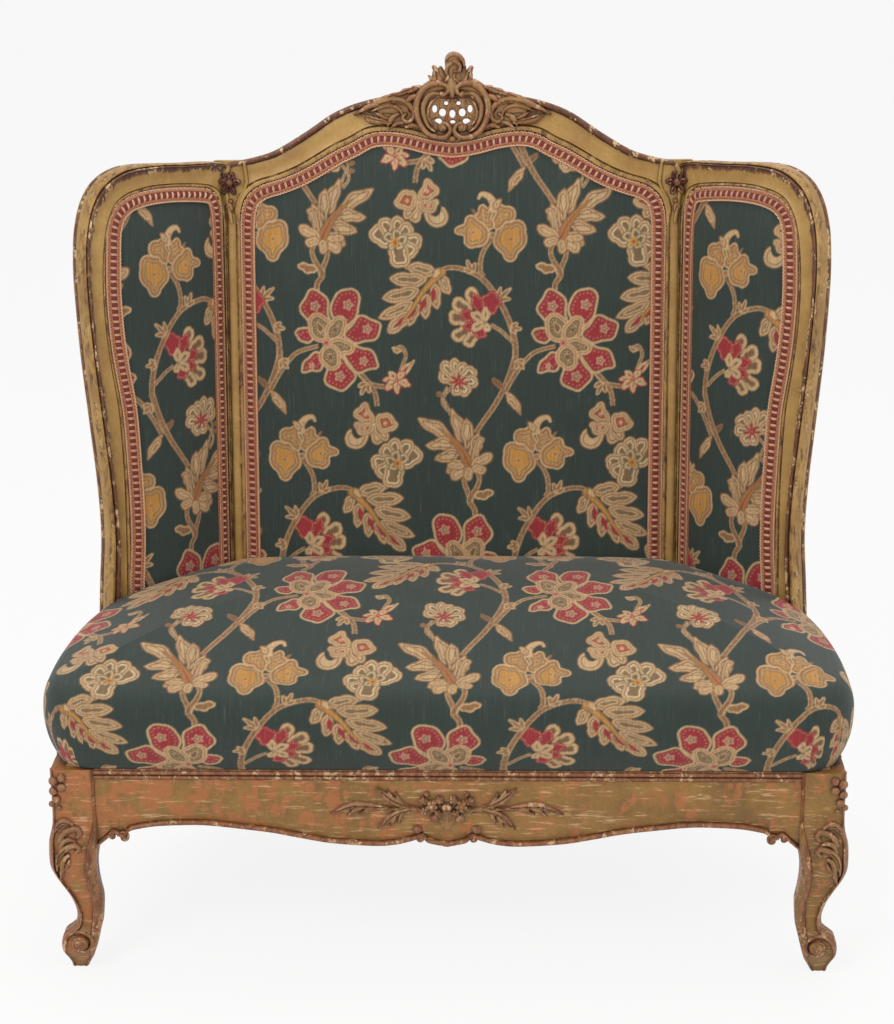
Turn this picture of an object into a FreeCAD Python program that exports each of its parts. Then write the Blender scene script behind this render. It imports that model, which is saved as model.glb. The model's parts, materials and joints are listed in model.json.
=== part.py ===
import FreeCAD, Part
import math
import os

# High-backed winged settee, three upholstered back panels and a fixed sprung seat.
# Frame of the part: +X to the sitter's left-hand side of the view, +Y to the back, +Z up.
# Sizes are millimetres. Pieces are built about y = 0 at the front rail's face,
# and the finished set is moved so that the origin is under its middle.

V = FreeCAD.Vector

# Seat frame
rail_top = 316.0
rail_bottom = 236.0
rail_thick = 38.0
rail_half_length = 496.0
tenon_length = 24.0
tenon_thick = 12.0
tenon_height = 44.0
joint_clearance = 0.2
side_rail_inset = 14.5
side_rail_rear = 330.0
rear_rail_thick = 34.0
batten_size = 20.0

# Lower edge of the front rail, from the middle outwards
apron_arch_z = 229.0
apron_belly_z = 198.0
apron_cusp_z = 212.0
apron_cusp_x = 36.0
apron_drop_z = 196.0
apron_belly_x = 104.0
apron_arch_x = 372.0
apron_curl_x = 460.0
apron_curl_z = 211.0
apron_notch_x = 474.0
apron_end_z = 196.0
bead_size = 8.0
bead_proud = 4.0

# Front legs: half width and how far the middle stands out on the diagonal
leg_block = 63.0
leg_shoulder_lap = 0.5
leg_middle = rail_half_length + leg_block / 2 - leg_shoulder_lap
side_rail_outer = leg_middle + leg_block / 2 - side_rail_inset
knee_height = 185.0
knee_width = 68.0
knee_out = 6.0
shin_height = 130.0
shin_width = 52.0
shin_out = -4.0
ankle_height = 88.0
ankle_width = 37.0
ankle_out = -11.0
toe_height = 40.0
toe_width = 44.0
toe_out = 4.0
foot_width = 24.0
foot_out = 5.0
scroll_radius = 18.0
scroll_length = 46.0
leg_corner_share = 0.22

# Back frame, in its own leaning plane
recline = 8.0
back_foot_y = 430.5
post_middle = 342.0
post_width = 28.0
frame_thick = 32.0
post_top = 1060.0
block_width = 54.0
block_bottom = 1014.0
block_top = 1081.0
block_proud = 5.0
rear_foot_rake = 92.0
rear_foot_depth = 34.0
rear_knee_z = 230.0
back_rail_low = 400.0
back_rail_high = 448.0
crest_corner_top = 1081.0
crest_corner_low = 1032.0
crest_mid_top = 1182.0
crest_mid_low = 1106.0
crest_hump_low = 1124.0
crest_hump_x = 103.0

# Wings, in a plane turned forward about the post
wing_angle = 42.0
wing_hinge = 350.0
wing_start = 9.0
wing_shoulder_height = 900.0
wing_shoulder_rise = 177.0
wing_top_depth = 36.0
wing_top = wing_shoulder_height + wing_shoulder_rise
wing_top_low = wing_top - wing_top_depth
wing_reach = 256.0
wing_waist = 224.0
wing_inner_reach = 221.0
wing_inner_waist = 191.0
wing_waist_height = 520.0
wing_corner_radius = 100.0
wing_inner_radius = 70.0
wing_joint_drop = 30.0
wing_rail_low = 400.0
wing_foot_reach = 236.0

# Upholstery
canvas_thick = 1.5
seat_crown = 497.0
seat_front_bulge = 18.0
seat_side_overhang = 29.0
seat_side_reach = side_rail_outer + seat_side_overhang
seat_foot_inset = 8.0
seat_rear = 466.0
seat_rear_half = 330.0
seat_wing_inset = 32.0
seat_wing_x = seat_side_reach - seat_wing_inset
seat_wing_y = 306.0
seat_widest_y = 120.0
seat_corner_radius = 52.0
seat_contact = 468.0
pad_gap = 0.4
back_pad_crown = 24.0
wing_pad_crown = 14.0
pad_depth = 14.0
pad_low = 330.0
gimp_width = 23.0
gimp_thick = 3.0
back_cloth_thick = 2.0
web_width = 50.0
web_thick = 2.0
web_count_across = 7
web_count_along = 5
spring_count_across = 4
spring_count_along = 3
spring_radius = 38.0
spring_waist = 26.0
spring_wall = 3.0
dust_thick = 1.2
screw_head_radius = 5.5
screw_head = 3.0
corner_block_leg = 70.0
corner_block_thick = 34.0

# Carved ornament
cartouche_half = 57.0
cartouche_low = 1118.0
cartouche_high = 1196.0
cartouche_thick = 12.0
lattice_hole = 3.4
lattice_pitch = 15.0
finial_height = 48.0
finial_width = 44.0
finial_thick = 16.0
foliage_reach = 143.0
foliage_thick = 7.0
rosette_radius = 17.0
rosette_thick = 4.0
petal_count = 6
petal_rise = 3.0
button_radius = 4.5
drop_radius = 5.0
spray_half = 162.0
spray_middle_z = 249.0
spray_height = 30.0
spray_thick = 7.0
flower_radius = 17.0
flower_petals = 6
berry_radius = 8.0
berry_count = 7
acanthus_width = 26.0
acanthus_rise = 9.0
tack_radius = 2.6
tack_pitch = 34.0
overrun = 40.0

recline_sin = math.sin(math.radians(recline))
recline_cos = math.cos(math.radians(recline))
across_axis = V(1, 0, 0)
up_axis = V(0, recline_sin, recline_cos)
out_axis = across_axis.cross(up_axis)
back_base = V(0, back_foot_y, 0)
wing_sin = math.sin(math.radians(wing_angle))
wing_cos = math.cos(math.radians(wing_angle))
wing_axis = across_axis * wing_cos + out_axis * wing_sin
wing_out = wing_axis.cross(up_axis)
wing_base = V(wing_hinge, back_foot_y, 0)

parts = {}


def plane_y(height):
    """Depth of the back's face at a height above the floor."""
    return back_foot_y + height * math.tan(math.radians(recline))


def placed(shape, base, side_axis, face_axis):
    """Moves a shape from its drawing plane into a leaning panel plane."""
    turn = FreeCAD.Rotation(side_axis, up_axis, face_axis, "XYZ")
    result = shape.copy()
    result.Placement = FreeCAD.Placement(base, turn).multiply(shape.Placement)
    return result


def in_back(shape):
    return placed(shape, back_base, across_axis, out_axis)


def in_wing(shape):
    return placed(shape, wing_base, wing_axis, wing_out)


def mirrored(shape):
    return shape.mirror(V(0, 0, 0), V(1, 0, 0))


def add(name, shape):
    parts[name] = shape


def add_pair(name, shape):
    """Adds a right-hand piece and its mirror image."""
    add(name + "_right", shape)
    add(name + "_left", mirrored(shape))


def box(low_x, low_y, low_z, high_x, high_y, high_z):
    return Part.makeBox(high_x - low_x, high_y - low_y, high_z - low_z, V(low_x, low_y, low_z))


def line(start, end):
    return Part.LineSegment(start, end).toShape()


def curve(points):
    """One smooth edge through the points."""
    spline = Part.BSplineCurve()
    spline.interpolate(points)
    return spline.toShape()


def flat_points(pairs, level=0):
    return [V(x, y, level) for x, y in pairs]


def plate(edges, depth):
    """A flat board behind the drawing plane."""
    face = Part.Face(Part.Wire(edges))
    return face.extrude(V(0, 0, -depth))


def prism(pairs, low, high):
    """A straight block over a plan outline."""
    points = flat_points(pairs, low)
    face = Part.Face(Part.makePolygon(points + points[:1]))
    return face.extrude(V(0, 0, high - low))


def rounded_outline(corners, radii, level):
    """A closed wire of straight runs and tangent arcs round the corners."""
    edges = []
    ends = []
    count = len(corners)
    for index in range(count):
        here = V(corners[index][0], corners[index][1], level)
        before = V(corners[index - 1][0], corners[index - 1][1], level)
        after_pair = corners[(index + 1) % count]
        after = V(after_pair[0], after_pair[1], level)
        back_way = (before - here).normalize()
        fore_way = (after - here).normalize()
        half = back_way.getAngle(fore_way) / 2
        reach = radii[index] / math.tan(half)
        bisector = (back_way + fore_way).normalize()
        middle = here + bisector * (radii[index] / math.sin(half) - radii[index])
        ends.append((here + back_way * reach, middle, here + fore_way * reach))
    for index in range(count):
        start, middle, end = ends[index]
        edges.append(Part.Arc(start, middle, end).toShape())
        edges.append(line(end, ends[(index + 1) % count][0]))
    return Part.Wire(edges)


def square_section(middle_x, middle_y, width, depth, level):
    """A squared leg section with softened corners."""
    half_x = width / 2
    half_y = depth / 2
    corners = [
        (middle_x - half_x, middle_y - half_y),
        (middle_x + half_x, middle_y - half_y),
        (middle_x + half_x, middle_y + half_y),
        (middle_x - half_x, middle_y + half_y),
    ]
    radius = width * leg_corner_share
    return rounded_outline(corners, [radius] * len(corners), level)


# Crest outlines, shared by the rail, the pad, the gimp and the outside cover
crest_rise_shares = [(0.25, 0.975), (0.41, 0.88), (0.55, 0.7), (0.69, 0.41), (0.83, 0.15), (1.0, 0.0)]
crest_under_shares = [(0.46, 0.85), (0.61, 0.58), (0.76, 0.31), (0.88, 0.17), (1.0, 0.0)]


def crest_top_points():
    """Upper edge of the crest, left to right."""
    span = post_middle - post_width / 2
    rise = crest_mid_top - crest_corner_top
    half = [(x_share * span, crest_corner_top + z_share * rise) for x_share, z_share in crest_rise_shares]
    left = [(-x, z) for x, z in reversed(half)]
    return left + [(0, crest_mid_top)] + half


def crest_low_points(inset=0):
    """Lower edge of the crest, left to right, lowered by an inset."""
    span = post_middle - post_width / 2
    rise = crest_hump_low - crest_corner_low
    half = [(crest_hump_x, crest_hump_low)]
    half += [(x_share * span, crest_corner_low + z_share * rise) for x_share, z_share in crest_under_shares]
    left = [(-x, z) for x, z in reversed(half)]
    whole = left + [(0, crest_mid_low)] + half
    squeeze = (span - inset) / span
    return [(x * squeeze, z - inset) for x, z in whole]


def panel_outline(low, side, tops, level):
    """Closed outline of a panel whose top is one smooth curve."""
    top_left = V(tops[0][0], tops[0][1], level)
    top_right = V(tops[-1][0], tops[-1][1], level)
    low_left = V(-side, low, level)
    low_right = V(side, low, level)
    edges = [
        line(low_left, low_right),
        line(low_right, top_right),
        curve(flat_points(list(reversed(tops)), level)),
        line(top_left, low_left),
    ]
    return Part.Wire(edges)


# Seat frame
def front_rail():
    """Shaped front rail with beads along its top and a tenon at each end."""
    points = [
        (rail_half_length, apron_end_z),
        (apron_notch_x, apron_curl_z),
        (apron_curl_x, apron_curl_z),
    ]
    arch = [
        (apron_curl_x, apron_curl_z),
        (apron_arch_x, apron_arch_z),
        ((apron_arch_x + apron_belly_x) / 2, (apron_arch_z + apron_belly_z) / 2),
        (apron_belly_x, apron_belly_z),
        (apron_cusp_x, apron_cusp_z),
    ]
    drop = [(apron_cusp_x, apron_cusp_z), (0, apron_drop_z), (-apron_cusp_x, apron_cusp_z)]
    right = [line(V(*points[0], 0), V(*points[1], 0)), line(V(*points[1], 0), V(*points[2], 0))]
    right.append(curve(flat_points(arch)))
    left = [line(V(-points[1][0], points[1][1], 0), V(-points[0][0], points[0][1], 0))]
    left.insert(0, line(V(-points[2][0], points[2][1], 0), V(-points[1][0], points[1][1], 0)))
    left.insert(0, curve(flat_points([(-x, z) for x, z in reversed(arch)])))
    middle = [curve(flat_points(drop))]
    close = [
        line(V(-rail_half_length, apron_end_z, 0), V(-rail_half_length, rail_top, 0)),
        line(V(-rail_half_length, rail_top, 0), V(rail_half_length, rail_top, 0)),
        line(V(rail_half_length, rail_top, 0), V(rail_half_length, apron_end_z, 0)),
    ]
    body = plate(right + middle + left + close, rail_thick)
    body.rotate(V(0, 0, 0), V(1, 0, 0), 90)
    for row in range(2):
        level = rail_top - bead_size * (row + 1 / 2)
        start = V(-rail_half_length, 0, level)
        bead = Part.makeCylinder(bead_size / 2, rail_half_length * 2, start, across_axis)
        body = body.fuse(bead)
    for side in (-1, 1):
        body = body.fuse(front_tenon(side, 0))
    return body.removeSplitter()


def front_tenon(side, clearance):
    """Tenon of the front rail, or its mortise when it is given a clearance."""
    middle_z = (rail_top + rail_bottom) / 2
    near = side * (rail_half_length - tenon_length)
    far = side * (rail_half_length + tenon_length + clearance)
    return box(
        min(near, far), (rail_thick - tenon_thick) / 2 - clearance, middle_z - tenon_height / 2 - clearance,
        max(near, far), (rail_thick + tenon_thick) / 2 + clearance, middle_z + tenon_height / 2 + clearance)


leg_middle_y = leg_block / 2 - (leg_middle + leg_block / 2 - side_rail_outer) / 2
leg_rear_y = leg_middle_y + leg_block / 2
side_rail_inner = side_rail_outer - rail_thick


def side_tenon(clearance):
    """Tenon of the right side rail into the front leg."""
    middle_z = (rail_top + rail_bottom) / 2
    middle_x = (side_rail_outer + side_rail_inner) / 2
    return box(
        middle_x - tenon_thick / 2 - clearance, leg_rear_y - tenon_length / 2 - clearance,
        middle_z - tenon_height / 2 - clearance,
        middle_x + tenon_thick / 2 + clearance, leg_rear_y + tenon_length,
        middle_z + tenon_height / 2 + clearance)


def leg_sections():
    """Height, width and stand-out of each section of a front leg, from the floor up."""
    return [
        (0, foot_width, foot_out),
        (toe_height / 2, foot_width, foot_out),
        (toe_height, toe_width, toe_out),
        (ankle_height, ankle_width, ankle_out),
        (shin_height, shin_width, shin_out),
        (knee_height, knee_width, knee_out),
        (rail_bottom, leg_block, 0),
        (rail_top, leg_block, 0),
    ]


def front_leg():
    """Right cabriole leg with its scrolled toe, mortised for two rails."""
    wires = []
    for level, width, out in leg_sections():
        wires.append(square_section(leg_middle + out, leg_middle_y - out, width, width, level))
    leg = Part.makeLoft(wires[:-1], True, False)
    leg = leg.fuse(Part.makeLoft(wires[-2:], True, True))
    diagonal = V(1, -1, 0).normalize()
    across = V(1, 1, 0).normalize()
    middle = V(leg_middle + toe_out, leg_middle_y - toe_out, toe_height)
    start = middle + diagonal * (toe_width / 4) - across * (scroll_length / 2)
    leg = leg.fuse(Part.makeCylinder(scroll_radius, scroll_length, start, across))
    leg = leg.cut(front_tenon(1, joint_clearance))
    leg = leg.cut(side_tenon(joint_clearance))
    return leg


def rear_corner():
    """Plan points of the mitre between the side rail and the canted rail."""
    mitre = rail_thick * math.tan(math.radians(45 - wing_angle / 2)) / 2
    return (side_rail_outer, side_rail_rear + mitre), (side_rail_inner, side_rail_rear - mitre)


def side_rail():
    outer, inner = rear_corner()
    body = prism([(side_rail_inner, leg_rear_y), (side_rail_outer, leg_rear_y), outer, inner],
                 rail_bottom, rail_top)
    return body.fuse(side_tenon(0)).removeSplitter()


post_outer = post_middle + post_width / 2
post_inner = post_middle - post_width / 2


def canted_rail():
    outer, inner = rear_corner()
    front = plane_y(rail_top)
    plan = [outer, inner, (post_outer, front), (post_outer, front + rail_thick)]
    return prism(plan, rail_bottom, rail_top)


def post_profile():
    """Side outline of a back post: raked rear leg below, leaning post above."""
    depth = frame_thick / recline_cos
    top = post_top * recline_cos
    seat_front = plane_y(rail_top)
    knee_front = plane_y(rear_knee_z)
    foot_front = knee_front + rear_foot_rake
    bend_front = knee_front + rear_foot_rake / 4
    bend_z = rear_knee_z / 2
    points_front = [V(0, foot_front, 0), V(0, bend_front, bend_z), V(0, knee_front, rear_knee_z)]
    points_back = [
        V(0, knee_front + depth, rear_knee_z),
        V(0, bend_front + (depth + rear_foot_depth) / 2, bend_z),
        V(0, foot_front + rear_foot_depth, 0),
    ]
    edges = [
        Part.Arc(*points_front).toShape(),
        line(points_front[2], V(0, seat_front, rail_top)),
        line(V(0, seat_front, rail_top), V(0, plane_y(top), top)),
        line(V(0, plane_y(top), top), V(0, plane_y(top) + depth, top)),
        line(V(0, plane_y(top) + depth, top), points_back[0]),
        Part.Arc(*points_back).toShape(),
        line(points_back[2], points_front[0]),
    ]
    return Part.Wire(edges)


def back_post():
    """Right back post with the square block at its head."""
    profile = post_profile()
    profile.translate(V(post_inner, 0, 0))
    post = Part.Face(profile).extrude(V(post_width, 0, 0))
    block = box(post_middle - block_width / 2, block_bottom, -frame_thick,
                post_middle + block_width / 2, block_top, block_proud)
    head = box(0, block_bottom, -frame_thick - overrun, side_rail_outer, block_top + overrun, overrun)
    post = post.cut(in_back(head))
    return post.fuse(in_back(block)).removeSplitter()


def rear_rail():
    front = plane_y(rail_top)
    return box(-post_inner, front, rail_bottom, post_inner, front + rear_rail_thick, rail_top)


def webbing_batten():
    span = leg_middle - leg_block / 2
    return box(-span, rail_thick, rail_bottom, span, rail_thick + batten_size, rail_bottom + batten_size)


# Back frame
block_inner = post_middle - block_width / 2
block_outer = post_middle + block_width / 2


def crest_rail():
    """Serpentine crest between the post blocks."""
    tops = crest_top_points()
    lows = crest_low_points()
    outline = [
        curve(flat_points(tops)),
        line(V(tops[-1][0], tops[-1][1], 0), V(lows[-1][0], lows[-1][1], 0)),
        curve(flat_points(list(reversed(lows)))),
        line(V(lows[0][0], lows[0][1], 0), V(tops[0][0], tops[0][1], 0)),
    ]
    rail = plate(outline, frame_thick)
    for side in (-1, 1):
        middle = side * post_middle
        rail = rail.cut(box(middle - block_width / 2, block_bottom - overrun, -frame_thick - overrun,
                            middle + block_width / 2, block_top + overrun, overrun))
    return in_back(rail)


def back_bottom_rail():
    face = -pad_depth - pad_gap
    return in_back(box(-post_inner, back_rail_low, -frame_thick, post_inner, back_rail_high, face))


# Wings
block_in_wing = (block_outer - wing_hinge) / wing_cos


def wing_outer_points():
    """Outer edge of the wing stile, from its foot up."""
    waist = (wing_waist, wing_waist_height)
    hip = ((wing_waist + wing_reach) / 2, (wing_waist_height + wing_shoulder_height) / 2)
    shoulder = (wing_reach, wing_shoulder_height)
    return [(wing_foot_reach, rail_top / recline_cos), waist, hip, shoulder]


def wing_inner_points():
    """Inner edge of the wing stile, from its foot up."""
    drop = wing_reach - wing_inner_reach
    waist = (wing_inner_waist, wing_waist_height)
    hip = ((wing_inner_waist + wing_inner_reach) / 2, (wing_waist_height + wing_shoulder_height) / 2)
    shoulder = (wing_reach - drop, wing_shoulder_height)
    return [(wing_inner_waist, rail_top / recline_cos), waist, hip, shoulder]


stile_top = wing_top - wing_corner_radius - wing_joint_drop


def wing_stile():
    """Curved outer stile of the right wing, down to the seat rail."""
    outer = wing_outer_points() + [(wing_reach - bead_proud / 2, stile_top)]
    inner = wing_inner_points() + [(wing_inner_reach - bead_proud / 2, stile_top)]
    outline = [
        curve(flat_points(outer)),
        line(V(*outer[-1], 0), V(*inner[-1], 0)),
        curve(flat_points(list(reversed(inner)))),
        line(V(*inner[0], 0), V(*outer[0], 0)),
    ]
    stile = in_wing(plate(outline, frame_thick))
    floor_cut = box(0, 0, 0, side_rail_outer * 2, side_rail_outer * 2, rail_top)
    return stile.cut(floor_cut)


def wing_top_rail():
    """Top of the right wing with its rounded outer corner."""
    start = block_in_wing - bead_proud
    outer_x = wing_reach - bead_proud / 2
    inner_x = wing_inner_reach - bead_proud / 2
    turn = wing_corner_radius
    inner_turn = wing_inner_radius
    quarter = math.sqrt(1 / 2)
    bend = inner_x - inner_turn + inner_turn * quarter
    bend_z = wing_top_low - inner_turn + inner_turn * quarter
    outline = [
        line(V(start, wing_top_low, 0), V(start, wing_top, 0)),
        line(V(start, wing_top, 0), V(outer_x - turn, wing_top, 0)),
        Part.Arc(V(outer_x - turn, wing_top, 0),
                 V(outer_x - turn + turn * quarter, wing_top - turn + turn * quarter, 0),
                 V(outer_x, wing_top - turn, 0)).toShape(),
        line(V(outer_x, wing_top - turn, 0), V(outer_x, stile_top, 0)),
        line(V(outer_x, stile_top, 0), V(inner_x, stile_top, 0)),
        line(V(inner_x, stile_top, 0), V(inner_x, wing_top_low - inner_turn, 0)),
        Part.Arc(V(inner_x, wing_top_low - inner_turn, 0),
                 V(bend, bend_z, 0),
                 V(inner_x - inner_turn, wing_top_low, 0)).toShape(),
        line(V(inner_x - inner_turn, wing_top_low, 0), V(start, wing_top_low, 0)),
    ]
    rail = in_wing(plate(outline, frame_thick))
    block = in_back(box(block_inner, block_bottom - overrun, -frame_thick - overrun,
                        block_outer, block_top + overrun, overrun))
    return rail.cut(block)


def wing_bottom_rail():
    """Low rail of the right wing, hidden beside the seat."""
    rail = in_wing(box(wing_start, wing_rail_low, -frame_thick, wing_inner_waist, back_rail_high,
                       -pad_depth - pad_gap))
    keep_out = box(0, 0, 0, post_outer, back_foot_y * 2, post_top)
    return rail.cut(keep_out).cut(wing_stile())


# Upholstery
def dome(outline_at, depth, crown, shares):
    """A stuffed panel: flat back, steep edge and a crowned face."""
    wires = [outline_at(1, -depth)]
    for scale, rise_share in shares:
        wires.append(outline_at(scale, crown * rise_share))
    return Part.makeLoft(wires, True, True)


dome_shares = [(1.0, 0.0), (0.94, 0.14), (0.87, 0.45), (0.76, 0.74), (0.58, 0.93), (0.35, 1.0)]


def back_pad_outline(scale, level):
    """Outline of the middle pad, drawn in towards its centre by a scale."""
    side = (post_inner - pad_gap) * scale
    centre = (pad_low + crest_corner_low) / 2
    lows = crest_low_points(pad_gap)
    tops = [(x * scale, centre + (z - centre) * scale) for x, z in lows]
    tops[0] = (-side, tops[0][1])
    tops[-1] = (side, tops[-1][1])
    return panel_outline(centre + (pad_low - centre) * scale, side, tops, level)


def block_clearance_cut():
    """Room for both post blocks, in the back's plane."""
    cuts = []
    for side in (-1, 1):
        middle = side * post_middle
        cuts.append(box(middle - block_width / 2 - pad_gap, block_bottom - pad_gap, -frame_thick - overrun,
                        middle + block_width / 2 + pad_gap, block_top + overrun, overrun))
    return cuts


def back_pad():
    pad = dome(back_pad_outline, pad_depth, back_pad_crown, dome_shares)
    for tool in block_clearance_cut():
        pad = pad.cut(tool)
    return in_back(pad)


def wing_pad_corners():
    """Corners of the right wing's panel in the wing plane."""
    return [
        (wing_start + pad_gap * 2, pad_low),
        (wing_inner_waist - pad_gap * 2, pad_low),
        (wing_inner_waist - pad_gap * 2, wing_waist_height),
        (wing_inner_reach - bead_proud, wing_shoulder_height - wing_inner_radius),
        (wing_inner_reach - bead_proud, wing_top_low - pad_gap),
        (wing_start + pad_gap * 2, wing_top_low - pad_gap),
    ]


wing_narrow_share = 1.2


def wing_pad_outline(scale, level):
    """Outline of the right wing's pad, drawn in towards its centre by a scale."""
    corners = wing_pad_corners()
    centre_x = (wing_start + wing_inner_waist) / 2
    centre_z = (pad_low + wing_top_low) / 2
    narrow = 1 - (1 - scale) * wing_narrow_share
    points = [(centre_x + (x - centre_x) * narrow, centre_z + (z - centre_z) * scale) for x, z in corners]
    soft = wing_inner_radius / 4
    radii = [bead_size, bead_size, soft, soft, wing_inner_radius, soft]
    return rounded_outline(points, [r * narrow for r in radii], level)


def wing_pad():
    pad = dome(wing_pad_outline, pad_depth, wing_pad_crown, dome_shares)
    placed_pad = in_wing(pad)
    placed_pad = placed_pad.cut(wing_stile())
    placed_pad = placed_pad.cut(wing_top_rail())
    keep_out = in_back(box(block_inner, block_bottom - pad_gap, -frame_thick - overrun,
                           block_outer + pad_gap, block_top + overrun, overrun))
    post_room = in_back(box(post_inner, 0, -frame_thick - overrun, post_outer + pad_gap, post_top, overrun))
    return placed_pad.cut(keep_out).cut(post_room)


seat_profile_shares = [
    # rise share, front bulge share, side bulge share, draw-in share
    (0.0, 0.0, 0.0, 0.0),
    (0.12, 0.62, 0.55, 0.0),
    (0.28, 1.0, 0.92, 0.0),
    (0.45, 1.0, 1.0, 0.0),
    (0.58, 0.75, 0.8, 0.01),
    (0.66, 0.3, 0.5, 0.03),
    (0.73, 0.0, 0.15, 0.07),
    (0.82, 0.0, 0.0, 0.2),
    (0.895, 0.0, 0.0, 0.34),
    (0.955, 0.0, 0.0, 0.5),
    (1.0, 0.0, 0.0, 0.76),
]


def seat_outline(rise, front, bulge, draw):
    """One level of the seat cover."""
    level = rail_top + canvas_thick + rise * (seat_crown - rail_top - canvas_thick)
    side_base = side_rail_outer - seat_foot_inset
    side = side_base + (seat_side_reach - side_base) * bulge
    front_y = -seat_front_bulge * front
    corners = [
        (-side + bead_size, front_y), (side - bead_size, front_y), (side, seat_widest_y),
        (seat_wing_x, seat_wing_y), (seat_rear_half, seat_rear), (-seat_rear_half, seat_rear),
        (-seat_wing_x, seat_wing_y), (-side, seat_widest_y),
    ]
    centre_y = seat_rear / 2
    rear_share = 1.3
    points = []
    for x, y in corners:
        pull = draw if y < centre_y else draw * draw * rear_share
        points.append((x * (1 - draw), centre_y + (y - centre_y) * (1 - pull)))
    soft = seat_corner_radius * (1 - draw)
    tight = soft / 2
    return rounded_outline(points, [soft, soft, soft, tight, tight, tight, tight, soft], level)


def seat_pad():
    """Crowned seat with its rolled front and bulging sides."""
    wires = [seat_outline(*shares) for shares in seat_profile_shares]
    pad = Part.makeLoft(wires, True, True)
    for tool in wing_room():
        pad = pad.cut(tool)
    return pad


def rail_plan(inset, low, thick):
    """A sheet over the seat frame's plan, inset from its outer faces."""
    outer, inner = rear_corner()
    rear = plane_y(rail_top)
    half = side_rail_outer - inset
    pairs = [
        (-half, inset), (half, inset), (half, inner[1]),
        (post_inner - inset, rear - inset), (-post_inner + inset, rear - inset), (-half, inner[1]),
    ]
    return prism(pairs, low, low + thick)


def wing_room():
    """The space behind both wings' faces, as tools that keep the seat clear."""
    right = in_wing(box(0, 0, -overrun * 2, wing_reach * 2, post_top, pad_gap))
    return [right, mirrored(right)]


def spring_canvas():
    canvas = rail_plan(seat_foot_inset, rail_top, canvas_thick)
    for tool in wing_room():
        canvas = canvas.cut(tool)
    return canvas


def leg_room():
    """The two front leg blocks and posts, as tools that keep sheets clear."""
    room = []
    for side in (-1, 1):
        middle = side * leg_middle
        half = leg_block / 2 + pad_gap
        room.append(box(middle - half, leg_middle_y - half, 0, middle + half, leg_middle_y + half, rail_top))
        near = side * (post_inner - pad_gap)
        far = side * side_rail_outer
        front = plane_y(rail_bottom) - pad_gap
        room.append(box(min(near, far), front, 0, max(near, far), back_foot_y * 2, rail_top))
    return room


def dust_cover():
    level = rail_bottom - web_thick * 2 - dust_thick
    cover = rail_plan(rail_thick + bead_size, level, dust_thick)
    for tool in leg_room():
        cover = cover.cut(tool)
    return cover


def webbing(along):
    """One layer of webbing strips: front to back, or side to side above them."""
    strips = []
    inner_half = side_rail_inner - web_width / 2
    rear = plane_y(rail_bottom) + rear_rail_thick / 2
    if along:
        count = web_count_across
        pitch = post_inner * 2 / count
        level = rail_bottom - web_thick * 2
        for index in range(count):
            middle = -post_inner + pitch * (index + 1 / 2)
            strips.append(box(middle - web_width / 2, rail_thick + pad_gap, level,
                              middle + web_width / 2, rear, level + web_thick))
        return Part.makeCompound(strips)
    count = web_count_along
    front = leg_rear_y + web_width
    pitch = (side_rail_rear - front) / (count - 1)
    level = rail_bottom - web_thick
    for index in range(count):
        middle = front + pitch * index
        strips.append(box(-inner_half - web_width, middle - web_width / 2, level,
                          inner_half + web_width, middle + web_width / 2, level + web_thick))
    return Part.makeCompound(strips)


def springs():
    """Hourglass seat springs in rows between the webbing and the canvas."""
    coils = []
    low = rail_bottom
    high = rail_top - pad_gap
    span_x = post_inner * 2 - spring_radius * 2
    first_y = leg_rear_y + spring_radius + batten_size
    span_y = plane_y(rail_bottom) - spring_radius * 2 - first_y
    for column in range(spring_count_across):
        for row in range(spring_count_along):
            x = -span_x / 2 + span_x * column / (spring_count_across - 1)
            y = first_y + spring_radius + span_y * row / (spring_count_along - 1)
            outline = [
                V(spring_radius, 0, low), V(spring_waist, 0, (low + high) / 2), V(spring_radius, 0, high),
                V(spring_radius - spring_wall, 0, high), V(spring_waist - spring_wall, 0, (low + high) / 2),
                V(spring_radius - spring_wall, 0, low),
            ]
            face = Part.Face(Part.makePolygon(outline + outline[:1]))
            coil = face.revolve(V(0, 0, 0), V(0, 0, 1), 360)
            coil.translate(V(x, y, 0))
            coils.append(coil)
    return Part.makeCompound(coils)


def strip_between(outer, inner, thick):
    """A flat braid strip between two point rows."""
    edges = [
        curve(flat_points(outer)),
        line(V(*outer[-1], 0), V(*inner[-1], 0)),
        curve(flat_points(list(reversed(inner)))),
        line(V(*inner[0], 0), V(*outer[0], 0)),
    ]
    return Part.Face(Part.Wire(edges)).extrude(V(0, 0, thick))


def back_gimp():
    """Braid round the middle panel: two sides and the serpentine top."""
    height = back_pad_crown * dome_shares[1][1] + gimp_thick
    side_room = pad_gap * 2
    outer = crest_low_points(side_room)
    inner = crest_low_points(side_room + gimp_width)
    body = strip_between(outer, inner, height)
    for side in (-1, 1):
        near = side * (post_inner - side_room)
        far = side * (post_inner - side_room - gimp_width)
        low = seat_contact
        body = body.fuse(box(min(near, far), low, 0, max(near, far), inner[0][1] + bead_size, height))
    for tool in block_clearance_cut():
        body = body.cut(tool)
    return in_back(body.removeSplitter()).cut(back_pad())


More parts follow.
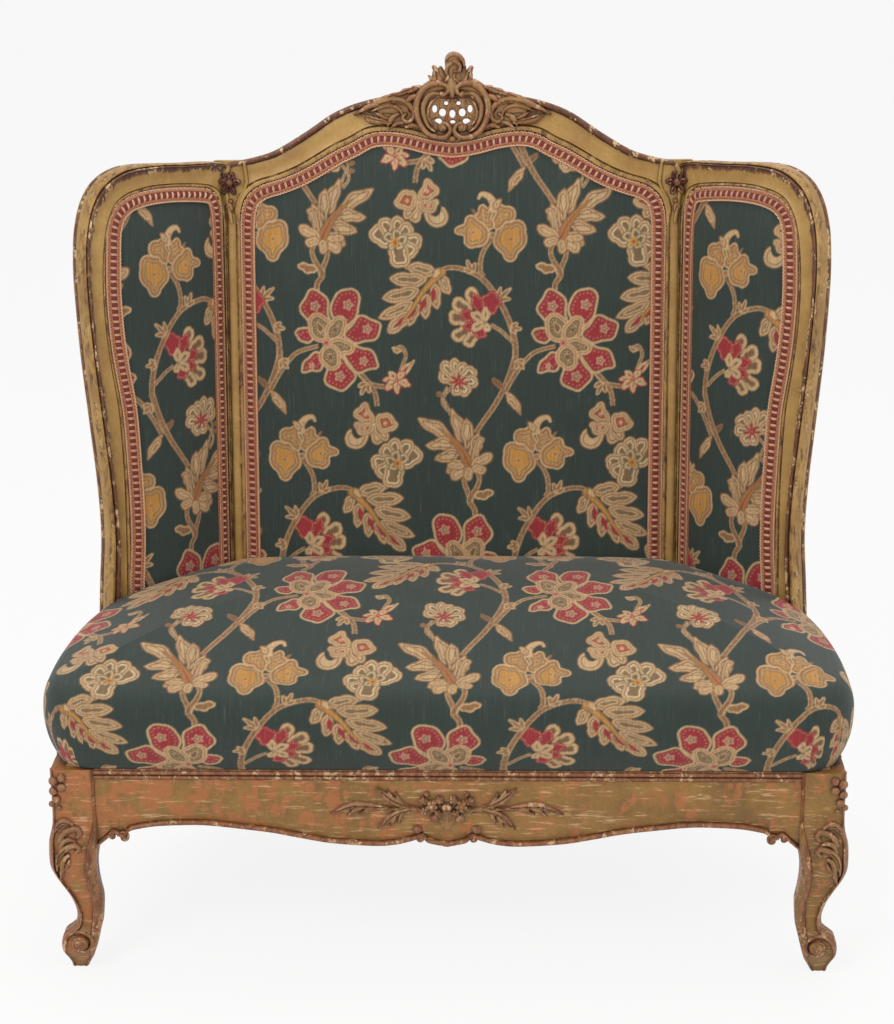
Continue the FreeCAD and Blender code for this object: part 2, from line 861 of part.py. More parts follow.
def wing_gimp():
    """Braid round the right wing panel, as a ring between two outlines."""
    height = wing_pad_crown * dome_shares[2][1] + gimp_thick
    outer = Part.Face(wing_pad_outline(1, 0))
    centre_x = (wing_start + wing_inner_waist) / 2
    centre_z = (pad_low + wing_top_low) / 2
    half_x = wing_inner_reach - centre_x
    half_z = wing_top_low - centre_z
    corners = wing_pad_corners()
    points = [(x + math.copysign(gimp_width, centre_x - x), z + math.copysign(gimp_width, centre_z - z))
              for x, z in corners]
    points[2] = (points[2][0], corners[2][1])
    points[3] = (points[3][0], corners[3][1])
    radii = [bead_size] * len(points)
    radii[4] = wing_inner_radius - gimp_width
    inner = Part.Face(rounded_outline(points, radii, 0))
    ring = outer.cut(inner).extrude(V(0, 0, height))
    ring = ring.cut(box(-half_x * 2, 0, -overrun, half_x * 4, seat_contact, half_z))
    ring_placed = in_wing(ring)
    block = in_back(box(block_inner, block_bottom - pad_gap, -overrun,
                        block_outer + pad_gap, block_top + overrun, overrun))
    return ring_placed.cut(block).cut(wing_pad())


def outside_back():
    """Plain outside cover of the middle panel."""
    lows = crest_low_points(-bead_size)
    tops = [(max(-post_inner, min(post_inner, x)), z) for x, z in lows]
    edges = panel_outline(rail_top / recline_cos, post_inner, tops, 0).Edges
    cover = plate(edges, back_cloth_thick)
    cover.translate(V(0, 0, -frame_thick))
    return in_back(cover)


def outside_wing():
    """Plain outside cover of the right wing."""
    corners = wing_pad_corners()
    wire = Part.makePolygon(flat_points(corners + corners[:1]))
    cover = Part.Face(wire).extrude(V(0, 0, -back_cloth_thick))
    cover.translate(V(0, 0, -frame_thick))
    covered = in_wing(cover)
    below = box(0, 0, 0, side_rail_outer, back_foot_y * 2, rail_top)
    beside = in_back(box(-post_outer, 0, -frame_thick * 2, post_outer, post_top, 0))
    return covered.cut(back_post()).cut(beside).cut(below)


# Carving
cartouche_shares = [(0.5, 0.0), (1.0, 0.2), (1.0, 0.8), (0.5, 1.0)]
lattice_row_shares = [0.4, 0.53, 0.66, 0.79]
lattice_row_counts = [2, 3, 2, 3]


def crest_cartouche():
    """Pierced cartouche of two facing scrolls in front of the crest."""
    height = cartouche_high - cartouche_low
    lobe = height / 4
    right = [(cartouche_half * x, cartouche_low + height * z) for x, z in cartouche_shares]
    corners = right + [(-x, z) for x, z in reversed(right)]
    outline = rounded_outline(corners, [lobe / 2] * len(corners), 0)
    body = Part.Face(outline).extrude(V(0, 0, cartouche_thick))
    for side in (-1, 1):
        place = V(side * (lobe / 2 + lattice_hole), cartouche_low + lobe, 0)
        body = body.fuse(Part.makeCylinder(lobe / 2, cartouche_thick + bead_proud, place))
    for row_share, count in zip(lattice_row_shares, lattice_row_counts):
        level = cartouche_low + height * row_share
        for index in range(count):
            x = (index - (count - 1) / 2) * lattice_pitch
            hole = Part.makeCylinder(lattice_hole, cartouche_thick + overrun, V(x, level, -overrun / 2))
            body = body.cut(hole)
    return in_back(body)


def mirrored_outline(half):
    """A closed wire from the right half of a symmetric outline."""
    points = half + [(-x, z) for x, z in reversed(half)]
    return Part.makePolygon(flat_points(points + points[:1]))


# Half widths as shares of the finial's half width, heights as shares of its height
finial_shares = [(0.36, 0.0), (0.33, 0.22), (1.0, 0.35), (0.67, 0.55), (0.5, 0.77), (0.1, 1.0)]


def crest_finial():
    """Leafy finial standing on the crest above the cartouche."""
    head = finial_width / 4
    top = cartouche_high + finial_height
    half = [(finial_width / 2 * x, cartouche_high + finial_height * z) for x, z in finial_shares]
    body = Part.Face(mirrored_outline(half)).extrude(V(0, 0, finial_thick))
    body = body.fuse(Part.makeSphere(head, V(0, top - head * 2, finial_thick / 2)))
    return in_back(body).cut(crest_cartouche())


# Along the leaf spray from the cartouche outwards, heights as shares of half the cartouche
foliage_shares = [
    (0.0, -0.3), (0.35, -0.42), (0.75, -0.36), (1.0, -0.25), (0.8, 0.05), (0.5, 0.4), (0.0, 0.5),
]


def crest_foliage():
    """Leaf spray beside the cartouche, on the crest's face."""
    height = (cartouche_high - cartouche_low) / 2
    middle = (crest_hump_low + crest_mid_top) / 2
    start = cartouche_half - foliage_thick
    span = foliage_reach - start
    outline = [(start + span * x, middle + height * z) for x, z in foliage_shares]
    wire = Part.makePolygon(flat_points(outline + outline[:1]))
    body = Part.Face(wire).extrude(V(0, 0, foliage_thick))
    return in_back(body).cut(crest_cartouche())


petal_disc_share = 0.38
petal_ring_share = 0.62
heart_disc_share = 0.75


def rosette_form(radius, petals, thick):
    """A flower of round petals about a button, rising from z = 0."""
    body = Part.makeCylinder(radius * heart_disc_share, thick)
    ring = radius * petal_ring_share
    for index in range(petals):
        angle = math.radians(90 + 360 * index / petals)
        place = V(math.cos(angle) * ring, math.sin(angle) * ring, 0)
        body = body.fuse(Part.makeCylinder(radius * petal_disc_share, thick + petal_rise, place))
    return body.fuse(Part.makeCylinder(button_radius, thick + petal_rise * 2))


def rosette():
    """Rosette on the right post block, with its drop bud."""
    body = rosette_form(rosette_radius, petal_count, rosette_thick)
    body.translate(V(post_middle, (block_bottom + block_top) / 2, block_proud))
    return in_back(body)


def drop_bud():
    """Small bud hanging below the right post block on the post's face."""
    low = block_bottom - drop_radius
    body = Part.makeSphere(drop_radius, V(post_middle, low - drop_radius, 0))
    body = body.common(box(0, 0, 0, side_rail_outer, post_top, overrun))
    return in_back(body)


# Along the spray from its middle outwards, heights as shares of its half height
spray_shares = [
    (0.0, -0.3), (0.45, -1.0), (0.5, -0.4), (1.0, -0.1), (0.55, 0.2), (0.45, 1.0), (0.0, 0.4),
]
spray_flower_shares = [(-1.5, 0.0), (0.0, 0.4), (1.5, 0.0)]


def front_spray():
    """Flowers and leaves applied to the middle of the front rail."""
    half = [(spray_half * x, spray_height * z) for x, z in spray_shares]
    outline = half + [(-x, z) for x, z in reversed(half)][1:-1]
    body = Part.Face(Part.makePolygon(flat_points(outline + outline[:1]))).extrude(V(0, 0, spray_thick))
    for x_share, z_share in spray_flower_shares:
        flower = rosette_form(flower_radius, flower_petals, spray_thick)
        flower.translate(V(x_share * flower_radius, z_share * flower_radius, 0))
        body = body.fuse(flower)
    body.rotate(V(0, 0, 0), V(1, 0, 0), 90)
    body.translate(V(0, 0, spray_middle_z))
    return body


berry_ring_share = 1.5


def knee_cluster(leg):
    """Cluster of berries on the outer corner of the right leg's block."""
    diagonal = V(1, -1, 0).normalize()
    across = V(1, 1, 0).normalize()
    corner_reach = (leg_block / 2) * math.sqrt(2) - leg_block * leg_corner_share * (math.sqrt(2) - 1)
    middle = V(leg_middle, leg_middle_y, rail_top - berry_radius * 4) + diagonal * corner_reach
    body = Part.makeSphere(berry_radius, middle)
    for index in range(berry_count - 1):
        angle = 2 * math.pi * index / (berry_count - 1)
        aside = across * math.cos(angle) + V(0, 0, math.sin(angle))
        place = middle + aside * berry_radius * berry_ring_share
        body = body.fuse(Part.makeSphere(berry_radius, place))
    return body.cut(leg)


def knee_acanthus(leg):
    """Leaf down the outer corner of the right leg, following its bend."""
    diagonal = V(1, -1, 0).normalize()
    across = V(1, 1, 0).normalize()
    wires = []
    for level, width, out in leg_sections()[3:7]:
        corner = width * leg_corner_share * (math.sqrt(2) - 1)
        reach = (width / 2 + out) * math.sqrt(2) - corner
        middle = V(leg_middle, leg_middle_y, level) + diagonal * reach
        half = acanthus_width / 2 * width / knee_width
        points = [
            middle - across * half - diagonal * half, middle + diagonal * acanthus_rise,
            middle + across * half - diagonal * half, middle - diagonal * half * 2,
        ]
        wires.append(Part.makePolygon(points + points[:1]))
    return Part.makeLoft(wires, True, True).cut(leg)


# Fastenings
rear_block_share = 0.75


def corner_block(rear):
    """Glue block in the right front or right rear corner of the seat frame."""
    low = rail_bottom + batten_size + joint_clearance
    high = low + corner_block_thick
    if rear:
        outer, inner = rear_corner()
        shift = corner_block_leg * rear_block_share
        way = V(post_outer - inner[0], plane_y(rail_top) - inner[1], 0).normalize() * shift
        pairs = [inner, (inner[0], inner[1] - shift), (inner[0] + way.x, inner[1] + way.y)]
        return prism(pairs, low, high)
    inner_x = leg_middle - leg_block / 2
    reach = corner_block_leg
    pairs = [(inner_x, rail_thick), (inner_x, leg_rear_y), (side_rail_inner, leg_rear_y),
             (side_rail_inner, leg_rear_y + reach / 2), (inner_x - reach, rail_thick)]
    return prism(pairs, low, high)


def block_screws():
    """Two screws through the face of each front glue block."""
    screws = []
    for side in (-1, 1):
        for share in (1 / 3, 2 / 3):
            x = leg_middle - leg_block / 2 - corner_block_leg * share / 2
            level = rail_bottom + batten_size + joint_clearance + corner_block_thick / 2
            y = rail_thick + (1 - share) * corner_block_leg / 2
            place = V(side * x, y, level + corner_block_thick / 2)
            screws.append(Part.makeCylinder(screw_head_radius, screw_head, place))
    return Part.makeCompound(screws)


def tack_row():
    """Tacks that hold the outside cover along the middle panel's foot."""
    tacks = []
    count = int(post_inner * 2 / tack_pitch)
    for index in range(count):
        x = -post_inner + tack_pitch * (index + 1 / 2)
        tack = Part.makeSphere(tack_radius, V(x, (back_rail_low + back_rail_high) / 2, 0))
        tacks.append(tack.common(box(-side_rail_outer, 0, -overrun, side_rail_outer, post_top, 0)))
    row = Part.makeCompound(tacks)
    row.translate(V(0, 0, -frame_thick - back_cloth_thick))
    return in_back(row)


def build():
    """Makes every piece and files it under its name."""
    leg = front_leg()
    add("front_rail", front_rail())
    add_pair("front_leg", leg)
    add_pair("side_rail", side_rail())
    add_pair("canted_rail", canted_rail())
    add("rear_rail", rear_rail())
    add("webbing_batten", webbing_batten())
    add_pair("back_post", back_post())
    add("crest_rail", crest_rail())
    add("back_bottom_rail", back_bottom_rail())
    add_pair("wing_stile", wing_stile())
    add_pair("wing_top_rail", wing_top_rail())
    add_pair("wing_bottom_rail", wing_bottom_rail())
    add("seat_pad", seat_pad())
    add("back_pad", back_pad())
    add_pair("wing_pad", wing_pad())
    add("back_gimp", back_gimp())
    add_pair("wing_gimp", wing_gimp())
    add("outside_back", outside_back())
    add_pair("outside_wing", outside_wing())
    add("spring_canvas", spring_canvas())
    add("seat_springs", springs())
    add("webbing_along", webbing(True))
    add("webbing_across", webbing(False))
    add("dust_cover", dust_cover())
    add("crest_cartouche", crest_cartouche())
    add("crest_finial", crest_finial())
    add_pair("crest_foliage", crest_foliage())
    add_pair("rosette", rosette())
    add_pair("drop_bud", drop_bud())
    add("front_rail_carving", front_spray())
    add_pair("knee_cluster", knee_cluster(leg))
    add_pair("knee_acanthus", knee_acanthus(leg))
    add_pair("front_corner_block", corner_block(False))
    add_pair("rear_corner_block", corner_block(True))
    add("block_screws", block_screws())
    add("cover_tacks", tack_row())


def whole_box():
    bounds = FreeCAD.BoundBox()
    for shape in parts.values():
        bounds.add(shape.optimalBoundingBox())
    return bounds


def export():
    """Moves the set over the origin and writes one file for each piece."""
    os.makedirs("parts", exist_ok=True)
    bounds = whole_box()
    shift = V(-bounds.Center.x, -bounds.Center.y, -bounds.ZMin)
    print("size", round(bounds.XLength, 1), round(bounds.YLength, 1), round(bounds.ZLength, 1))
    print("shift", [round(value, 2) for value in shift])
    for name, shape in parts.items():
        shape.translate(shift)
        shape.exportStep("parts/" + name + ".step")
        print(name, len(shape.Solids), shape.isValid(), round(shape.Volume / 1000.0, 1))


build()
export()
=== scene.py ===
"""Looks of a high-backed winged settee: carved gilt frame, printed floral cover and woven braid."""
import json
import logging
import math
from collections.abc import Callable
from dataclasses import dataclass, field
from enum import Enum
from functools import partial

import bmesh
import bpy
import numpy as np
from mathutils import Matrix, Vector

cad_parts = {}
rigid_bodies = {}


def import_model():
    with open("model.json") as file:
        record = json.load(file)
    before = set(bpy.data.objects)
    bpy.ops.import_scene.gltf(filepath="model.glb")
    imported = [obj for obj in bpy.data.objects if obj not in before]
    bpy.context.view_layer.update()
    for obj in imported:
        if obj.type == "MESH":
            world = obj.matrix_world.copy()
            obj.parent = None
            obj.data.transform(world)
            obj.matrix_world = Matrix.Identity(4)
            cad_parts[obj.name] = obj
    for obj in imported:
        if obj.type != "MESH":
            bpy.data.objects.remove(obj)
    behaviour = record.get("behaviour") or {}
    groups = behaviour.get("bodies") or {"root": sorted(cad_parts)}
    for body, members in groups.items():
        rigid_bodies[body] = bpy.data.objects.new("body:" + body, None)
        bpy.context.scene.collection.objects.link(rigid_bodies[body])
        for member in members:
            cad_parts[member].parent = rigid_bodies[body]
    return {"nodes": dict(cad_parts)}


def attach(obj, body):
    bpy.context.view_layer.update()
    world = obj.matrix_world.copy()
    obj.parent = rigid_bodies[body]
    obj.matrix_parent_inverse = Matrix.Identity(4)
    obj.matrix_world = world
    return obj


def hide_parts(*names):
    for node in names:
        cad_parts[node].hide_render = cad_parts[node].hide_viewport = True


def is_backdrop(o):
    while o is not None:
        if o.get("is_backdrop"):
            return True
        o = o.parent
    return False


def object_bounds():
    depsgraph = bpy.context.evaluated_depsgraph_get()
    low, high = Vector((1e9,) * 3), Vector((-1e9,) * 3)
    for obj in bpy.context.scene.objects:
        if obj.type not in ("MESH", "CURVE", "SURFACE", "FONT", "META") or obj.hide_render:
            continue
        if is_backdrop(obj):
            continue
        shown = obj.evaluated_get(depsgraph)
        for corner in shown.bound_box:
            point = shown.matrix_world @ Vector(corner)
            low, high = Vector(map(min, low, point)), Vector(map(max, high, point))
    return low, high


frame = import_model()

log = logging.getLogger("settee")
logging.basicConfig(level=logging.INFO, format="%(message)s")

MM = 0.001
SIZE_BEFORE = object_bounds()


# Plain helpers


def linear(code: str) -> tuple[float, float, float, float]:
    """Turn an sRGB hex code into a linear colour.

    Args:
        code: Colour such as "#2E4A42".
    Returns:
        Red, green, blue and alpha in scene-linear values.
    """
    values = [int(code[i:i + 2], 16) / 255 for i in (1, 3, 5)]
    return tuple(v / 12.92 if v <= 0.04045 else ((v + 0.055) / 1.055) ** 2.4 for v in values) + (1.0,)


def smooth_curve(points: list, closed: bool = False, steps: int = 4) -> np.ndarray:
    """Run a Catmull-Rom curve through points.

    Args:
        points: Control points of any dimension.
        closed: Whether the curve returns to its start.
        steps: Samples on each span.
    Returns:
        The sampled points.
    """
    p = np.asarray(points, float)
    n = len(p)
    spans = n if closed else n - 1
    out = []
    t = np.arange(steps)[:, None] / steps
    for i in range(spans):
        if closed:
            a, b, c, d = p[(i - 1) % n], p[i], p[(i + 1) % n], p[(i + 2) % n]
        else:
            a, b, c, d = p[max(i - 1, 0)], p[i], p[i + 1], p[min(i + 2, n - 1)]
        out.append(0.5 * (2 * b + (c - a) * t + (2 * a - 5 * b + 4 * c - d) * t ** 2
                          + (3 * b - a - 3 * c + d) * t ** 3))
    if not closed:
        out.append(p[-1:])
    return np.concatenate(out)


def resample(points: np.ndarray, count: int = 0, pitch: float = 0.0, closed: bool = False) -> np.ndarray:
    """Space points evenly along a polyline.

    Args:
        points: The polyline.
        count: Number of points wanted, or 0 to use the pitch.
        pitch: Distance between points when count is 0.
        closed: Whether the last point joins the first.
    Returns:
        The new points.
    """
    p = np.asarray(points, float)
    if closed:
        p = np.vstack([p, p[:1]])
    run = run_of(p)
    if not count:
        count = max(int(round(run[-1] / pitch)), 2) + (0 if closed else 1)
    at = np.linspace(0, run[-1], count + 1)[:-1] if closed else np.linspace(0, run[-1], count)
    return np.stack([np.interp(at, run, p[:, k]) for k in range(p.shape[1])], axis=1)


def run_of(points: np.ndarray) -> np.ndarray:
    """Distance along a polyline at each of its points."""
    return np.r_[0, np.cumsum(np.linalg.norm(np.diff(points, axis=0), axis=1))]


def unit(vectors: np.ndarray) -> np.ndarray:
    """Vectors of length one."""
    return vectors / np.maximum(np.linalg.norm(vectors, axis=1, keepdims=True), 1e-9)


def left_of(line: np.ndarray, closed: bool = False) -> np.ndarray:
    """Directions across a line in the plane.

    Args:
        line: Points of the line.
        closed: Whether it is a closed outline.
    Returns:
        Unit vectors to the left of an open line, or to the inside of a closed one.
    """
    d = np.roll(line, -1, 0) - np.roll(line, 1, 0) if closed else np.gradient(line, axis=0)
    across = unit(np.stack([-d[:, 1], d[:, 0]], 1))
    twice_area = np.sum(line[:, 0] * np.roll(line[:, 1], -1) - np.roll(line[:, 0], -1) * line[:, 1])
    return -across if closed and twice_area <= 0 else across


def mirrored(points: np.ndarray) -> np.ndarray:
    """Mirror points in the settee's middle plane.

    Args:
        points: Points with x first.
    Returns:
        The mirrored points.
    """
    out = np.array(points, float)
    out[:, 0] *= -1
    return out


class Draft:
    """Collects vertices and faces in millimetres and turns them into one mesh piece."""

    def __init__(self) -> None:
        """Start with an empty mesh."""
        self.points: list = []
        self.faces: list = []
        self.rims: list = []
        self.marks: list = []

    def add(self, points: np.ndarray, faces: list, rim: float | np.ndarray = 0.0, mark: int = 0) -> None:
        """Add a part mesh.

        Args:
            points: Its vertices in millimetres.
            faces: Its faces as index lists.
            rim: How far each vertex counts as a worn edge, 0 to 1.
            mark: Material index of its faces.
        """
        start = len(self.points)
        self.points.extend(np.asarray(points, float).tolist())
        self.faces.extend([[i + start for i in f] for f in faces])
        self.rims.extend(np.broadcast_to(np.asarray(rim, float), (len(points),)).tolist())
        self.marks.extend([mark] * len(faces))

    def grid(self, rows: np.ndarray, rim: float | np.ndarray = 0.0, around: bool = False,
             along: bool = False, caps: bool = False, flip: bool = False, mark: int = 0) -> None:
        """Skin a grid of points.

        Args:
            rows: Points as rows, columns, xyz.
            rim: Rim value, one number, one for each column, or one for each point.
            around: Whether each row closes on itself.
            along: Whether the last row joins the first.
            caps: Whether the first and last rows are filled.
            flip: Turn the faces over.
            mark: Material index.
        """
        rows = np.asarray(rows, float)
        n, m = rows.shape[:2]
        faces = []
        for i in range(n if along else n - 1):
            for j in range(m if around else m - 1):
                a, b = i * m + j, i * m + (j + 1) % m
                c, d = ((i + 1) % n) * m + (j + 1) % m, ((i + 1) % n) * m + j
                faces.append([a, b, c, d])
        if caps:
            faces.append(list(range(m))[::-1])
            faces.append([(n - 1) * m + j for j in range(m)])
        if flip:
            faces = [f[::-1] for f in faces]
        rim = np.asarray(rim, float)
        if rim.ndim == 1 and rim.shape[0] == m:
            rim = np.tile(rim, n)
        self.add(rows.reshape(-1, 3), faces, rim.reshape(-1) if rim.ndim else rim, mark)

    def turn_over_left(self) -> "Draft":
        """Return this draft mirrored in x with its faces turned.

        Returns:
            The mirrored draft.
        """
        other = Draft()
        other.points = [[-x, y, z] for x, y, z in self.points]
        other.faces = [f[::-1] for f in self.faces]
        other.rims = list(self.rims)
        other.marks = list(self.marks)
        return other

    def build(self, name: str, materials: list, smooth_angle: float = 40.0, merge: float = 0.0,
              outward: bool = True) -> bpy.types.Object:
        """Make the piece.

        Args:
            name: Name of the piece.
            materials: Its finishes in slot order.
            smooth_angle: Edges sharper than this in degrees stay hard.
            merge: Distance in millimetres within which vertices become one.
            outward: Recalculate the faces so that they point outwards.
        Returns:
            The new object.
        """
        mesh = bpy.data.meshes.new(name)
        mesh.from_pydata([(x * MM, y * MM, z * MM) for x, y, z in self.points], [], self.faces)
        for material in materials:
            mesh.materials.append(material)
        mesh.polygons.foreach_set("material_index", self.marks)
        rim = mesh.attributes.new("rim", "FLOAT", "POINT")
        rim.data.foreach_set("value", np.array(self.rims, "f"))
        obj = bpy.data.objects.new(name, mesh)
        bpy.context.scene.collection.objects.link(obj)

        work = bmesh.new()
        work.from_mesh(mesh)
        if merge:
            bmesh.ops.remove_doubles(work, verts=work.verts, dist=merge * MM)
        bmesh.ops.dissolve_degenerate(work, dist=1e-6, edges=work.edges)
        if outward:
            bmesh.ops.recalc_face_normals(work, faces=work.faces)
        work.to_mesh(mesh)
        work.free()
        mesh.polygons.foreach_set("use_smooth", [True] * len(mesh.polygons))
        mesh.set_sharp_from_angle(angle=math.radians(smooth_angle))
        mesh.update()
        return obj


def settle(obj: bpy.types.Object, slot: str, *nodes: str, fill: float | None = None) -> bpy.types.Object:
    """Args:
        obj: The piece.
        slot: Material slot of the record; not used.
        nodes: CAD nodes that it stands for.
        fill: Tightness of a stuffed piece, or None; not used.
    Returns:
        The same piece.
    """
    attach(obj, "root")
    if nodes:
        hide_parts(*nodes)
    log.info("%s: %d faces", obj.name, len(obj.data.polygons))
    return obj


def settle_pair(right: Draft, name: str, finish: bpy.types.Material, slot: str, *nodes: str) -> None:
    """Make a right-hand piece and its mirror image.

    Args:
        right: Mesh of the right piece.
        name: Name without its side.
        finish: Its finish.
        slot: Material slot of the record.
        nodes: CAD nodes that it stands for, without their side.
    """
    for side, draft in (("right", right), ("left", right.turn_over_left())):
        settle(draft.build(f"{name}_{side}", [finish]), slot, *(f"{one}_{side}" for one in nodes))


# Planes of the back and the wings


@dataclass(frozen=True)
class Plane:
    """A leaning plane of the back frame, with u across, w up and h to the front."""

    base: tuple
    u: tuple
    w: tuple
    n: tuple

    def place(self, points: np.ndarray) -> np.ndarray:
        """Turn u, w, h in millimetres into frame millimetres.

        Args:
            points: Points, with x first.
        Returns:
            Points in frame millimetres.
        """
        p = np.asarray(points, float)
        return (np.array(self.base) + p[..., 0:1] * np.array(self.u) + p[..., 1:2] * np.array(self.w)
                + p[..., 2:3] * np.array(self.n))


@dataclass(frozen=True)
class Sizes:
    """Main sizes of the settee in millimetres, as in the CAD part."""

    front_y: float = -303.51
    recline: float = math.radians(8)
    wing_angle: float = math.radians(42)
    back_foot_y: float = 430.5
    wing_hinge: float = 350.0
    rail_top: float = 316.0
    frame_thick: float = 32.0


S = Sizes()
UP = (0.0, math.sin(S.recline), math.cos(S.recline))
FRONT = (0.0, -math.cos(S.recline), math.sin(S.recline))
ACROSS = (1.0, 0.0, 0.0)
BACK = Plane((0, S.back_foot_y + S.front_y, 0), ACROSS, UP, FRONT)
WING_U = tuple(math.cos(S.wing_angle) * np.array(ACROSS) + math.sin(S.wing_angle) * np.array(FRONT))
WING = Plane((S.wing_hinge, S.back_foot_y + S.front_y, 0), WING_U, UP, tuple(np.cross(WING_U, UP)))
# Finishes


class Yarn(Enum):
    """Yarn colours of the printed and woven cover; the first is the ground."""

    GROUND = "#212E27"
    CREAM = "#BC9B70"
    PALE = "#CBB288"
    TAN = "#875F3A"
    BROWN = "#6F4E33"
    STEM = "#825A39"
    GOLD = "#B37E37"
    OCHRE = "#A06C36"
    RUST = "#8F4B29"
    RED = "#8F2126"
    PINK = "#C08A72"
    TAUPE = "#755C3C"
    OLIVE = "#4E5442"


NOISE, MAPPING, RANGE = "ShaderNodeTexNoise", "ShaderNodeMapping", "ShaderNodeMapRange"
MATH, MIX, BUMP, SHADER = "ShaderNodeMath", "ShaderNodeMix", "ShaderNodeBump", "Principled BSDF"
# Sockets and settings of a Mix node that mixes colours
SHARE, FIRST, SECOND = 0, 6, 7
COLOR = {"output": 2, "data_type": "RGBA"}


def node(tree: bpy.types.NodeTree, kind: str, inputs: dict | list = (), output: str | int = 0,
         **settings) -> bpy.types.NodeSocket | None:
    """Add a node to a tree with its settings and links, or set a node that the tree has.

    Args:
        tree: Tree that takes the node.
        kind: Type of the node, or the name of one that is there.
        inputs: For each socket by name or number an output that is linked to it, a list of such
            outputs, or a constant; a list stands for the sockets in order.
        output: Name or number of the output wanted.
        settings: Properties of the node.
    Returns:
        The output, or None where the node has none.
    """
    made = tree.nodes.get(kind) or tree.nodes.new(kind)
    for key, value in settings.items():
        setattr(made, key, value)
    for key, value in inputs.items() if isinstance(inputs, dict) else enumerate(inputs):
        for one in value if isinstance(value, list) else [value]:
            if isinstance(one, bpy.types.NodeSocket):
                tree.links.new(one, made.inputs[key])
            else:
                made.inputs[key].default_value = one
    return made.outputs[output] if len(made.outputs) else None


def new_material(name: str) -> tuple:
    """Start a material.

    Args:
        name: Name of the finish.
    Returns:
        The material, the function that adds nodes to it, and its Object coordinates.
    """
    material = bpy.data.materials.new(name)
    material.use_nodes = True
    n = partial(node, material.node_tree)
    return material, n, n("ShaderNodeTexCoord", output="Object")


def sized(at: bpy.types.NodeSocket, size_mm: float, detail: float, rough: float) -> dict:
    """Inputs of a noise whose features are about size_mm across."""
    return {"Vector": at, "Scale": 1000 / size_mm, "Detail": detail, "Roughness": rough}


